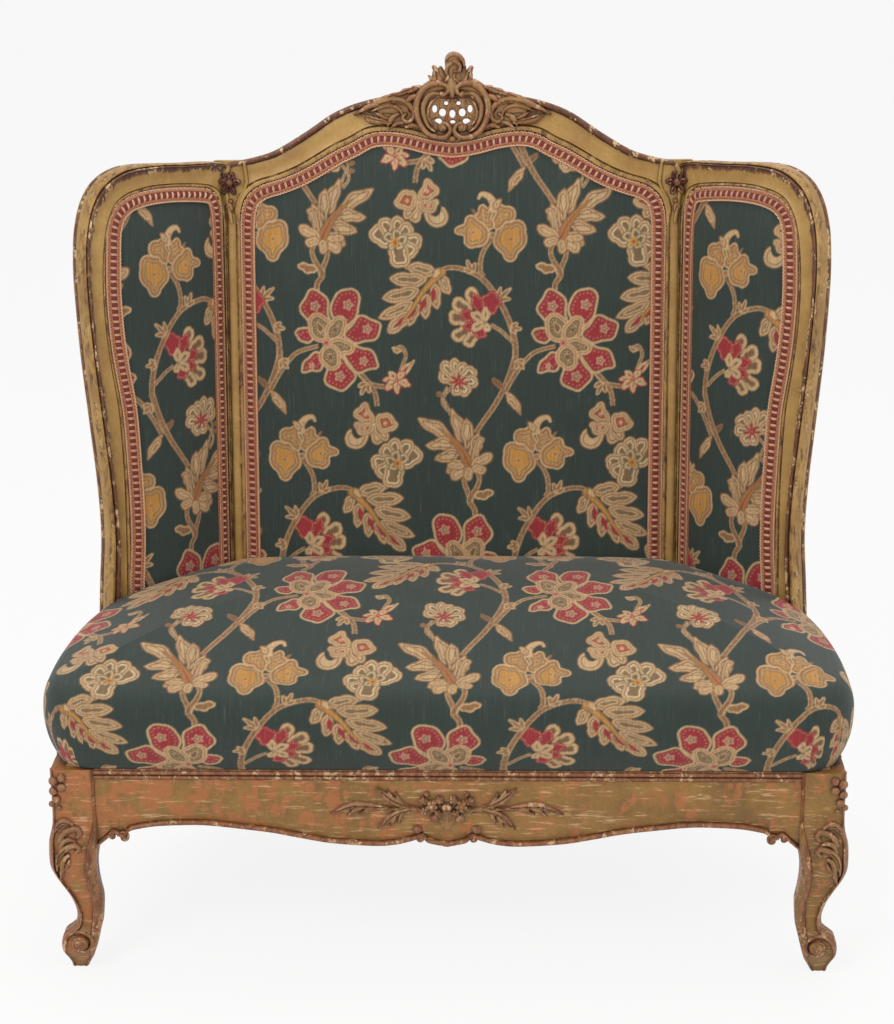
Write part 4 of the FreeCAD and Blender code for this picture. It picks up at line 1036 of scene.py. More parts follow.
        m.dot(cx, cy, 2.2, Yarn.BROWN, 7)
        m.dot(cx, cy, 1.0, Yarn.GOLD, 5)
        curl = smooth_curve([(-26, 90), (-27, 82), (-22, 75), (-15, 73), (-12, 78)], steps=4)
        m.fill(ribbon(curl, 11, 3.0), Yarn.TAN)
        m.fill(ribbon(curl, 9, 1.8), Yarn.CREAM)
        m.petal((-27, 88), (-34, 77), 8, ((0, Yarn.TAN), (0.9, Yarn.CREAM), (2.4, Yarn.TAN)), 0.4)
        m.dot(-24, 79, 0.9, Yarn.BROWN, 5)

    def double_flower(self) -> None:
        """Cream flower with a ring of inner petals and a gold heart."""
        m = self.m
        cx, cy = 70.0, 119.0
        for x, y, w, p in ((24, -13, 20, 0.5), (13, -24, 15, 0.35), (-4, -26, 15, 0.55),
                           (-16, -18, 15, 0.25), (-27, -1, 17, 0.2), (-22, 11, 16, 0.3), (-8, 24, 20, 0.45)):
            out = m.petal((cx, cy), (cx + x, cy + y), w, BUSY_PETAL, p, 0.0, 4)
            self.speckle(out, 4.0, 4.6, 0.45, Yarn.TAN)
        for x, y, w in ((11, -9, 11), (-3, -14, 11), (-13, -5, 11), (-8, 6, 10), (6, 7, 8)):
            m.petal((cx, cy), (cx + x, cy + y), w,
                    ((0, Yarn.OLIVE), (0.7, Yarn.CREAM), (2.2, Yarn.TAUPE), (3.2, Yarn.OLIVE)), 0.3)
        for k in range(6):
            a = k * math.pi / 3
            m.petal((cx, cy), (cx + 5.4 * math.cos(a), cy + 5.4 * math.sin(a)), 3.2, ((0, Yarn.GOLD),), 0.4)
        m.dot(cx, cy, 1.8, Yarn.RUST, 7)

    def leaf_spray(self) -> None:
        """Drooping spray of cut leaves with a gold spine."""
        m = self.m
        leaves = (((30, 149), (58, 139), 13, 0.9, 0.1), ((38, 154), (76, 158), 14, 0.8, -0.12),
                  ((46, 164), (82, 178), 14, 0.85, -0.14), ((52, 176), (86, 196), 12, 0.9, -0.1),
                  ((56, 186), (77, 208), 13, 0.7, -0.05), ((24, 150), (19, 170), 11, 0.8, 0.1),
                  ((30, 158), (32, 184), 11, 0.85, 0.1), ((38, 168), (44, 193), 11, 0.85, 0.12),
                  ((46, 178), (60, 199), 10, 0.85, 0.1))
        for base, tip, w, p, lean in leaves:
            m.petal(base, tip, w, CREAM_LEAF, p, lean, 4)
        for base, tip, w in (((32, 162), (33, 177), 5), ((40, 172), (46, 187), 5),
                             ((49, 182), (58, 193), 4.5), ((60, 190), (70, 201), 4.5)):
            m.petal(base, tip, w, ((0, Yarn.RED),), 0.7)
        spine = smooth_curve([(22, 146), (32, 155), (43, 167), (54, 184), (63, 195)], steps=5)
        m.fill(ribbon(spine, 9.5, 2.0), Yarn.OLIVE)
        m.fill(ribbon(spine, 7.8, 1.2), Yarn.OCHRE)
        m.fill(ribbon(spine, 4.0, 0.6), Yarn.GOLD)
        m.petal((25, 143), (33, 154), 8, ((0, Yarn.TAN), (0.9, Yarn.CREAM)), 0.5)

    def acanthus(self) -> None:
        """Large acanthus leaf on two stems."""
        m = self.m
        plain = ((0, Yarn.TAN), (0.9, Yarn.CREAM), (1.9, Yarn.BROWN), (2.7, Yarn.CREAM))
        right = (((12, -126), (47, -153), 15, 0.75, 0.1), ((8, -122), (41, -127), 15, 0.8, 0.16),
                 ((4, -114), (33, -112), 15, 0.8, 0.18), ((0, -106), (23, -98), 14, 0.75, 0.16))
        left = (((4, -124), (11, -160), 14, 0.85, 0.1), ((0, -118), (-5, -150), 14, 0.85, 0.16),
                ((-4, -108), (-17, -134), 14, 0.85, 0.16))
        for base, tip, w, p, lean in right + left:
            out = m.petal(base, tip, w, plain, p, lean)
            b, t = np.array(base, float), np.array(tip, float)
            vein = smooth_curve([b, b + (t - b) * 0.45, b + (t - b) * 0.8], steps=4)
            m.fill(ribbon(vein, 1.2, 0.5), Yarn.BROWN)
            self.speckle(out, 3.9, 6.0, 0.45, Yarn.OCHRE)
        spine = smooth_curve([(-3, -101), (2, -112), (9, -122), (18, -131), (28, -139)], steps=4)
        m.fill(ribbon(spine, 13, 1.5), Yarn.TAUPE)
        m.fill(ribbon(spine, 11.5, 0.8), Yarn.TAN)
        m.fill(ribbon(spine, 7, 0.4), Yarn.OCHRE)
        m.fill(ribbon(spine[:-4], 3.0, 0.4), Yarn.RUST)
        cup = smooth_curve([(-4, -101), (-12, -110), (-14, -120), (-19, -128), (-12, -131), (-7, -122),
                            (-5, -112)],
                           True, 3)
        m.nested(cup, *plain)
        for base, tip, w in (((-4, -101), (-27, -113), 11), ((-5, -100), (-20, -96), 10),
                             ((0, -100), (16, -89), 12), ((-3, -101), (-1, -86), 9),
                             ((1, -101), (20, -102), 8)):
            m.petal(base, tip, w, ((0, Yarn.TAN), (0.9, Yarn.CREAM), (2.3, Yarn.TAN), (3.0, Yarn.CREAM)),
                    0.5, 0.0, 4)


@dataclass(frozen=True)
class Repeat:
    """The pattern's repeat in millimetres. Every second column is mirrored and half a drop lower."""

    across: float = 367.0
    drop: float = 698.0
    half_across: float = 217.0
    half_drop: float = 354.0
    unit_x: float = 1.56
    unit_y: float = 1.59

    def spread(self, vine: Vine, origin: tuple, low: tuple, high: tuple) -> list:
        """Lay the pattern over a patch of cloth.

        Args:
            vine: The drawn column.
            origin: Place of one red flower of a plain column on the cloth, y upwards.
            low: Least x and y wanted.
            high: Greatest x and y wanted.
        Returns:
            Outlines with their yarns, back to front.
        """
        shapes = []
        unit = np.array([self.unit_x, -self.unit_y])
        for column in range(-4, 5):
            for row in range(-3, 4):
                for flipped in (False, True):
                    x = origin[0] + column * self.across + (self.half_across if flipped else 0)
                    y = origin[1] + row * self.drop - (self.half_drop if flipped else 0)
                    if x + 260 < low[0] or x - 260 > high[0] or y + 360 < low[1] or y - 380 > high[1]:
                        continue
                    for outline, yarn in vine.m.shapes:
                        p = outline * unit * (-1 if flipped else 1, 1) + (x, y)
                        a, b = p.min(0), p.max(0)
                        if b[0] > low[0] and a[0] < high[0] and b[1] > low[1] and a[1] < high[1]:
                            shapes.append((p, yarn))
        return shapes


# Upholstery

# Distance between the coloured vertices of the covers, and the step that their slope is measured over, in mm
SPACING = 1.6
SLOPE_STEP = 0.6


def nearest(points: np.ndarray, line: np.ndarray) -> tuple[np.ndarray, np.ndarray, np.ndarray]:
    """Nearest points on a polyline.

    Args:
        points: Points in the plane.
        line: Open polyline.
    Returns:
        Distance, nearest point, and the share of the line's length where it is.
    """
    a, b = line[:-1], line[1:]
    d = b - a
    run = run_of(line)
    best = np.full(len(points), 1e18)
    foot = np.zeros((len(points), 2))
    at = np.zeros(len(points))
    for k in range(len(a)):
        t = np.clip(((points - a[k]) @ d[k]) / max(d[k] @ d[k], 1e-12), 0, 1)
        q = a[k] + t[:, None] * d[k]
        dist = ((points - q) ** 2).sum(1)
        closer = dist < best
        best[closer] = dist[closer]
        foot[closer] = q[closer]
        at[closer] = (run[k] + t * (run[k + 1] - run[k]))[closer] / run[-1]
    return np.sqrt(best), foot, at


def inside(points: np.ndarray, outline: np.ndarray) -> np.ndarray:
    """Which points lie inside a closed outline.

    Args:
        points: Points, with x first.
        outline: Closed outline.
    Returns:
        True for each point inside.
    """
    x, y = points[:, 0], points[:, 1]
    hit = np.zeros(len(points), bool)
    for (x0, y0), (x1, y1) in zip(outline, np.roll(outline, -1, 0)):
        if y0 == y1:
            continue
        cross = ((y0 > y) != (y1 > y)) & (x < (x1 - x0) * (y - y0) / (y1 - y0) + x0)
        hit ^= cross
    return hit


class Cover:
    """A stuffed panel with the floral cover, its print held by closely set coloured vertices."""

    def __init__(self, outline: np.ndarray, place: Callable, shapes: list, under: Callable) -> None:
        """Keep what the panel is made from.

        Args:
            outline: Closed outline on the cloth.
            place: Function from cloth points to frame millimetres.
            shapes: Printed outlines with their yarns, back to front.
            under: Function from frame millimetres of the edge to the hidden back of the pad.
        """
        self.outline = outline
        self.place = place
        self.shapes = shapes
        self.under = under

    def printed(self, low: np.ndarray, counts: tuple) -> np.ndarray:
        """Colour the vertices of the grid from the print.

        Args:
            low: Cloth point of the first vertex.
            counts: Vertices across and up.
        Returns:
            Linear colours, as up, across, four values.
        """
        fine = SPACING / 2
        wide, tall = counts[0] * 2 + 1, counts[1] * 2 + 1
        index = np.zeros((tall, wide), np.uint8)
        order = list(Yarn)
        start = low - fine
        for outline, yarn in self.shapes:
            a = np.maximum(np.floor((outline.min(0) - start) / fine).astype(int), 0)
            b = np.minimum(np.ceil((outline.max(0) - start) / fine).astype(int) + 1, (wide, tall))
            if (b <= a).any():
                continue
            x = start[0] + np.arange(a[0], b[0]) * fine
            y = start[1] + np.arange(a[1], b[1]) * fine
            turns = np.zeros((len(y), len(x)), np.int16)
            for (x0, y0), (x1, y1) in zip(outline, np.roll(outline, -1, 0)):
                if y0 == y1:
                    continue
                rows = np.nonzero((y0 > y) != (y1 > y))[0]
                if len(rows):
                    at = (x1 - x0) * (y[rows] - y0) / (y1 - y0) + x0
                    way = 1 if y1 > y0 else -1
                    turns[rows] += np.where(x[None, :] < at[:, None], way, 0).astype(np.int16)
            index[a[1]:b[1], a[0]:b[0]][turns != 0] = order.index(yarn)
        colors = np.array([linear(yarn.value) for yarn in order])[index]
        out = np.zeros((counts[1], counts[0], 4))
        for dy, wy in ((0, 0.25), (1, 0.5), (2, 0.25)):
            for dx, wx in ((0, 0.25), (1, 0.5), (2, 0.25)):
                part = colors[dy:dy + 2 * counts[1]:2, dx:dx + 2 * counts[0]:2]
                out += wy * wx * part[:counts[1], :counts[0]]
        return out

    def build(self, name: str, material: bpy.types.Material) -> bpy.types.Object:
        """Make the padded panel as one closed mesh.

        Args:
            name: Name of the piece.
            material: Cover finish.
        Returns:
            The new object.
        """
        low = self.outline.min(0)
        counts = tuple((np.ceil((self.outline.max(0) - low) / SPACING) + 1).astype(int))
        colors = self.printed(low, counts).reshape(-1, 4)
        xs = low[0] + np.arange(counts[0]) * SPACING
        ys = low[1] + np.arange(counts[1]) * SPACING
        cloth = np.stack(np.meshgrid(xs, ys), -1).reshape(-1, 2)
        ids = np.arange(len(cloth)).reshape(counts[1], counts[0])
        quads = np.stack([ids[:-1, :-1], ids[:-1, 1:], ids[1:, 1:], ids[1:, :-1]], -1).reshape(-1, 4)
        quads = quads[inside(cloth[quads].mean(1), self.outline)]
        used = np.unique(quads)
        renumber = np.full(len(cloth), -1)
        renumber[used] = np.arange(len(used))
        cloth, colors, quads = cloth[used], colors[used], renumber[quads]
        top = self.place(cloth)
        du = self.place(cloth + (SLOPE_STEP, 0)) - self.place(cloth - (SLOPE_STEP, 0))
        dv = self.place(cloth + (0, SLOPE_STEP)) - self.place(cloth - (0, SLOPE_STEP))
        normals = unit(np.cross(du, dv))
        loop = self.edge_loop(quads)
        hidden = self.under(top[loop])
        n, m = len(top), len(loop)
        faces = quads.tolist()
        for k in range(m):
            j = (k + 1) % m
            faces.append([int(loop[j]), int(loop[k]), n + k, n + j])
        faces.append([n + k for k in range(m)][::-1])
        mesh = bpy.data.meshes.new(name)
        mesh.from_pydata((np.vstack([top, hidden]) * MM).tolist(), [], faces)
        mesh.materials.append(material)
        yarn = mesh.color_attributes.new("yarn", "FLOAT_COLOR", "POINT")
        yarn.data.foreach_set("color", np.vstack([colors, colors[loop]]).astype("f").ravel())
        vertex_of_loop = np.zeros(len(mesh.loops), int)
        mesh.loops.foreach_get("vertex_index", vertex_of_loop)
        where = np.vstack([cloth, cloth[loop]]) * MM
        uv = mesh.uv_layers.new(name="fabric")
        uv.data.foreach_set("uv", where[vertex_of_loop].astype("f").ravel())
        mesh.polygons.foreach_set("use_smooth", [True] * len(mesh.polygons))
        mesh.normals_split_custom_set_from_vertices(np.vstack([normals, normals[loop]]).tolist())
        mesh.update()
        obj = bpy.data.objects.new(name, mesh)
        bpy.context.scene.collection.objects.link(obj)
        return obj

    @staticmethod
    def edge_loop(faces: np.ndarray) -> np.ndarray:
        """Walk round the open edge of a mesh.

        Args:
            faces: Its faces, all turned the same way.
        Returns:
            Vertex indices in order.
        """
        heads = faces.ravel()
        tails = np.roll(faces, -1, axis=1).ravel()
        size = int(faces.max()) + 1
        forward = heads.astype(np.int64) * size + tails
        backward = tails.astype(np.int64) * size + heads
        open_edges = np.isin(forward, backward, invert=True)
        following = dict(zip(heads[open_edges].tolist(), tails[open_edges].tolist()))
        best: list = []
        seen: set = set()
        for start in list(following):
            walk, at = [], start
            while at in following and at not in seen:
                seen.add(at)
                walk.append(at)
                at = following[at]
            if len(walk) > len(best):
                best = walk
        return np.array(best)


def rise(share: np.ndarray, power: float = 2.3) -> np.ndarray:
    """Rounded rise of a stuffed panel from its edge, 0 to 1."""
    return 1 - (1 - np.clip(share, 0, 1)) ** power


CREST_LOW = smooth_curve([(0, 1106), (33, 1111), (68, 1120), (103, 1124), (130, 1120), (154, 1107),
                          (176, 1097), (197, 1085), (219, 1072), (241, 1061), (268, 1051), (290, 1045),
                          (306, 1037), (318, 1025), (325, 1007), (327.6, 985)], steps=5)
WING_INNER = smooth_curve([(195, 420), (195, 445), (191, 504), (191, 568), (194, 633), (199, 710),
                           (210, 774), (217, 824), (221, 885), (220, 935), (217, 978), (211, 1000),
                           (201, 1016), (186, 1028), (165, 1036), (136, 1041), (95, 1043), (48, 1041),
                           (28, 1037), (15, 1025), (10, 1004)],
                          steps=5)


@dataclass
class BackPanel:
    """Middle back: a tight, gently domed pad under a serpentine top."""

    half: float = 327.6
    low: float = 440.0
    crown: float = 24.0
    depth: float = 13.0
    reach: float = 190.0
    repeat_origin: tuple = (-196.0, 802.0)

    def outline(self) -> np.ndarray:
        """Outline on the panel plane, anticlockwise.

        Returns:
            Points of the outline.
        """
        right = CREST_LOW.copy()
        right[-1, 0] = self.half
        left = mirrored(right)[1:][::-1]
        top = np.vstack([left, right])
        side = np.linspace(985, self.low, 40)[1:]
        down = np.stack([np.full(39, self.half), side], 1)
        up = np.stack([np.full(39, -self.half), side[::-1]], 1)
        bottom = np.stack([np.linspace(self.half, -self.half, 30)[1:-1], np.full(28, self.low)], 1)
        return np.vstack([top, down, bottom, up])[::-1]

    def height(self, p: np.ndarray) -> np.ndarray:
        """Stand of the cover in front of the frame plane.

        Args:
            p: Points in the plane, in millimetres.
        Returns:
            Height of each point.
        """
        lid = np.interp(np.abs(p[:, 0]), CREST_LOW[:, 0], CREST_LOW[:, 1])
        side = rise((self.half - np.abs(p[:, 0])) / self.reach)
        top = rise((lid - p[:, 1]) / self.reach)
        pull = 0.5 * np.sin(p[:, 0] / 9.0 + np.sin(p[:, 1] / 60)) * np.exp(-(lid - p[:, 1]) / 24)
        return -1.0 + (self.crown + 1) * side * top + pull * 0.5

    def place(self, p: np.ndarray) -> np.ndarray:
        """Put cloth points on the domed panel."""
        return BACK.place(np.column_stack([p, self.height(p)]))

    def under(self, edge: np.ndarray) -> np.ndarray:
        """Move edge points to the back of the pad."""
        h = (edge - np.array(BACK.base)) @ np.array(BACK.n)
        return edge - (h + self.depth)[:, None] * np.array(BACK.n)

    def build(self, vine: Vine, finish: bpy.types.Material) -> bpy.types.Object:
        """Make the pad.

        Args:
            vine: The drawn pattern.
            finish: Cover finish.
        Returns:
            The piece.
        """
        outline = self.outline()
        shapes = Repeat().spread(vine, self.repeat_origin, outline.min(0), outline.max(0))
        cover = Cover(outline, self.place, shapes, self.under)
        return settle(cover.build("back_pad_cover", finish), "floral_cloth", "back_pad", fill=0.9)


@dataclass
class WingPanel:
    """Wing: a narrow tight pad, turned forward about the back post."""

    left: bool
    low: float = 420.0
    start: float = 9.8
    crown: float = 14.0
    depth: float = 13.0
    reach: float = 90.0

    def outline(self) -> np.ndarray:
        """Outline on the wing plane, anticlockwise.

        Returns:
            Points of the outline.
        """
        side = np.stack([np.full(50, self.start), np.linspace(1000, self.low, 50)], 1)
        bottom = np.stack([np.linspace(self.start, 195, 18)[1:-1], np.full(16, self.low)], 1)
        return np.vstack([WING_INNER, side, bottom])

    def height(self, p: np.ndarray) -> np.ndarray:
        """Stand of the cover in front of the frame plane.

        Args:
            p: Points in the plane, in millimetres.
        Returns:
            Height of each point.
        """
        side_line = WING_INNER[WING_INNER[:, 0] > 185]
        outer = np.interp(p[:, 1], side_line[:, 1], side_line[:, 0])
        flat = WING_INNER[60:][::-1]
        lid = np.interp(p[:, 0], flat[:, 0], flat[:, 1])
        near = rise((p[:, 0] - self.start) / self.reach)
        far = rise((outer - p[:, 0]) / self.reach)
        top = rise((lid - p[:, 1]) / (self.reach * 1.3))
        return -1.0 + (self.crown + 1) * near * far * top * 1.12

    def place(self, p: np.ndarray) -> np.ndarray:
        """Put cloth points on the domed wing.

        Args:
            p: Points in the plane, in millimetres.
        Returns:
            Points in frame millimetres.
        """
        q = p * (-1, 1) if self.left else p
        placed = WING.place(np.column_stack([q, self.height(q)]))
        return mirrored(placed) if self.left else placed

    def under(self, edge: np.ndarray) -> np.ndarray:
        """Move edge points to the back of the pad.

        Args:
            edge: Points of the edge, in millimetres.
        Returns:
            The moved points.
        """
        e = mirrored(edge) if self.left else edge
        h = (e - np.array(WING.base)) @ np.array(WING.n)
        e = e - (h + self.depth)[:, None] * np.array(WING.n)
        return mirrored(e) if self.left else e

    def build(self, vine: Vine, finish: bpy.types.Material) -> bpy.types.Object:
        """Make the pad.

        Args:
            vine: The drawn pattern.
            finish: Cover finish.
        Returns:
            The piece.
        """
        outline = self.outline()
        origin = (140.0, 394.0)
        if self.left:
            outline = (outline * (-1, 1))[::-1]
            origin = (-77.0, 402.0)
        shapes = Repeat().spread(vine, origin, outline.min(0), outline.max(0))
        side = "left" if self.left else "right"
        cover = Cover(outline, self.place, shapes, self.under)
        return settle(cover.build(f"wing_pad_cover_{side}", finish), "floral_cloth", f"wing_pad_{side}",
                      fill=0.9)


@dataclass
class SeatPanel:
    """Sprung seat: a high crown that rolls over the front and sides down to the rail."""

    half_front: float = 496.0
    corner: float = 55.0
    side: float = 551.0
    wing_point: tuple = (523.0, 306.0)
    rear_point: tuple = (326.0, 464.0)
    roll: tuple = ((0, 440), (8, 434), (14, 425), (18, 412), (20, 398), (20, 380), (18, 362), (14, 346),
                   (8, 331), (1, 317.5))
    dome: tuple = ((0, 440), (0.07, 449), (0.2, 465), (0.33, 478), (0.47, 488), (0.64, 496), (1.0, 498.0),
                   (3.0, 498.0))
    origin: tuple = (-211.0, 207.0)
    line: np.ndarray = field(init=False)
    profile: np.ndarray = field(init=False)

    def __post_init__(self) -> None:
        """Work out the edge line and the roll."""
        arc = [(self.half_front + self.corner * math.sin(a), self.corner * (1 - math.cos(a)))
               for a in np.linspace(0, math.pi / 2, 14)]
        flank = smooth_curve([(self.side, self.corner), (self.side, 120), (self.side - 5, 190),
                              (self.side - 15, 255), self.wing_point], steps=5)
        right = np.vstack([[(x, 0.0) for x in np.linspace(0, self.half_front, 40)[:-1]], arc[:-1], flank])
        left = mirrored(right)[1:][::-1]
        self.line = np.vstack([left, right])
        curve = smooth_curve(self.roll, steps=6)
        self.profile = np.column_stack([run_of(curve), curve])

    @property
    def depth(self) -> float:
        """Cloth length of the roll."""
        return float(self.profile[-1, 0])

    def outline(self) -> np.ndarray:
        """Outline of the cloth, anticlockwise.

        Returns:
            Points of the outline.
        """
        outer = resample(self.line - left_of(self.line) * self.depth, pitch=9.0)
        (wx, wy), (rx, ry) = self.wing_point, self.rear_point
        back = resample(np.array([(wx, wy), (rx, ry), (-rx, ry), (-wx, wy)]), pitch=9.0)
        return np.vstack([outer, back])

    def place(self, p: np.ndarray) -> np.ndarray:
        """Put cloth points on the seat.

        Args:
            p: Points in the plane, in millimetres.
        Returns:
            Points in frame millimetres.
        """
        dist, foot, _ = nearest(p, self.line)
        over = self.beyond(p)
        s = np.where(over, dist, 0.0)
        away = unit(np.where(over[:, None], p - foot, 0.0))
        out = np.interp(s, self.profile[:, 0], self.profile[:, 1])
        z = np.interp(s, self.profile[:, 0], self.profile[:, 2])
        pos = np.where(over[:, None], foot + away * out[:, None], p)
        z = np.where(over, z, self.top(p))
        return np.column_stack([pos[:, 0], pos[:, 1] + S.front_y, z])

    def beyond(self, p: np.ndarray) -> np.ndarray:
        """Which cloth points hang over the edge line."""
        closed = np.vstack([self.line, [(self.wing_point[0], 600), (-self.wing_point[0], 600)]])
        return ~inside(p, closed)

    def top(self, p: np.ndarray) -> np.ndarray:
        """Height of the crowned top.

        Args:
            p: Points in the plane, in millimetres.
        Returns:
            Height of each point.
        """
        x, y = np.abs(p[:, 0]), p[:, 1]
        dist, _, _ = nearest(p, self.line)
        (wx, wy), (rx, ry) = self.wing_point, self.rear_point
        cant = np.array([ry - wy, wx - rx]) / math.hypot(ry - wy, wx - rx)
        along = np.clip((wx - x) / (wx - rx), 0, 1)
        canted = -(np.stack([x, y], 1) - (wx, wy)) @ cant
        terms = (np.maximum(y, 0.5) / 233, np.maximum(dist, 0.5) / 400, 0.22 + np.maximum(ry - y, 0) / 330,
                 0.1 + 0.12 * along + np.maximum(canted, 0) / 330)
        d = sum(t ** -3.0 for t in terms) ** (-1 / 3)
        table = smooth_curve(self.dome, steps=8)
        return np.interp(d, table[:, 0], table[:, 1])

    def under(self, edge: np.ndarray) -> np.ndarray:
        """Move edge points to the seat's underside.

        Args:
            edge: Points of the edge, in millimetres.
        Returns:
            The moved points.
        """
        out = edge.copy()
        out[:, 2] = S.rail_top + 1.5
        out[:, :2] *= 0.995
        return out

    def build(self, vine: Vine, finish: bpy.types.Material) -> bpy.types.Object:
        """Make the seat.

        Args:
            vine: The drawn pattern.
            finish: Cover finish.
        Returns:
            The piece.
        """
        outline = self.outline()
        low, high = outline.min(0), outline.max(0)
        shapes = []
        # The print is drawn in over the front edge and stretched towards the back, as in the photograph
        for p, yarn in Repeat().spread(vine, self.origin, low - (0, 40), high):
            q = p.copy()
            front = q[:, 1] < 21
            q[front, 1] = 17 + (q[front, 1] - 21) * 0.826
            far = q[:, 1] > 50
            q[far, 1] += (q[far, 1] - 50) * 0.19
            between = ~front & (q[:, 1] >= 17) & (q[:, 1] < 60)
            q[between, 1] -= 4 * (60 - q[between, 1]) / 39
            shapes.append((q, yarn))
        cover = Cover(outline, self.place, shapes, self.under)
        return settle(cover.build("seat_cover", finish), "floral_cloth", "seat_pad", fill=0.95)


# Frame mouldings


def band(draft: Draft, outer: np.ndarray, inner: np.ndarray, profile: list, plane: Plane,
         back: float = -32.0, spread: np.ndarray | None = None, tuck: float = 0.0,
         wear: np.ndarray | None = None) -> None:
    """Run a moulding between two lines in a plane.

    Args:
        draft: Mesh that takes the faces.
        outer: Points of the outer line, u and w.
        inner: As many points of the inner line.
        profile: Stations as share across from the outer line, shift in mm, stand h in mm and rim value.
        plane: Plane of the band.
        back: Stand of the back face.
        spread: Share of the shift used at each point, for the stations on the outer line.
        tuck: Shift of the back edge past the inner line.
        wear: Share of the rim value at each point.
    """
    d = inner - outer
    size = np.linalg.norm(d, axis=1, keepdims=True)
    d = d / np.maximum(size, 1e-9)
    need = max(p[1] for p in profile) - min(p[1] for p in profile) + 2
    fit = np.minimum(1.0, size / need)
    rows, rims = [], []
    for share, shift, h, rim in profile:
        slide = shift * fit * (spread[:, None] if spread is not None and share == 0 else 1.0)
        p = outer + d * (size * share + slide)
        rows.append(np.column_stack([p, np.full(len(p), h)]))
        rims.append(rim)
    rows.append(np.column_stack([inner + d * tuck, np.full(len(inner), back)]))
    rows.append(np.column_stack([outer, np.full(len(outer), back)]))
    rims += [0.1, 0.12]
    grid = plane.place(np.stack(rows, 1))
    values = np.outer(np.ones(len(outer)) if wear is None else wear, rims)
    draft.grid(grid, values, around=True, caps=True, flip=True)


def bead(at: float, width: float, height: float, low: float, rim: float, steps: int = 5,
         from_end: bool = False) -> list:
    """Stations of a half-round bead, at a shift from the outer line or from the inner one.

    Args:
        at: Place of its start.
        width: Its width.
        height: Its height.
        low: Stand of its foot.
        rim: Rim value.
        steps: Number of stations.
        from_end: Whether shifts count from the inner line.
    Returns:
        Its stations.
    """
    out = []
    for k in range(steps):
        a = math.pi * k / (steps - 1)
        shift = at + width * (1 - math.cos(a)) / 2
        out.append((1.0 if from_end else 0.0, shift, low + height * math.sin(a), rim))
    return out


def frame_profile(edge: float, inner: float) -> list:
    """Cross-section of the crest moulding.

    Args:
        edge: Width of the bead at the outer edge.
        inner: Width of the bead beside the braid.
    Returns:
        Stations from the outer edge inwards: bead, quirk, hollow, quirk, bead.
    """
    out = [(0, 0.0, -29.0, 0.7), (0, 0.0, -26.0, 0.15), (0, 0.0, -11.0, 0.15), (0, 0.0, -6.0, 0.9)]
    out += bead(0.3, edge, 4.2, 0.6, 1.0)
    out += [(0, edge + 1.2, -1.4, 0.95), (0, edge + 3.0, -0.6, 0.15), (0.35, edge * 0.65, -1.6, 0.0),
            (0.7, -inner * 0.25 + edge * 0.3, -1.0, 0.0)]
    out += [(1, -inner - 2.4, -0.2, 0.1), (1, -inner - 1.2, -1.6, 1.0)]
    out += bead(-inner, inner - 1, 3.0, -0.2, 0.45, from_end=True)
    return out


def pierce(obj: bpy.types.Object, hole: Draft) -> None:
    """Cut a through hole and leave a plain mesh.

    Args:
        obj: Piece that is cut.
        hole: Mesh of the hole.
    """
    cutter = hole.build("cutter", [])
    modifier = obj.modifiers.new("pierce", "BOOLEAN")
    modifier.operation = "DIFFERENCE"
    modifier.solver = "EXACT"
    modifier.object = cutter
    bpy.context.view_layer.update()
    plain = bpy.data.meshes.new_from_object(obj.evaluated_get(bpy.context.evaluated_depsgraph_get()))
    obj.modifiers.remove(modifier)
    obj.data = plain
    bpy.data.objects.remove(cutter)


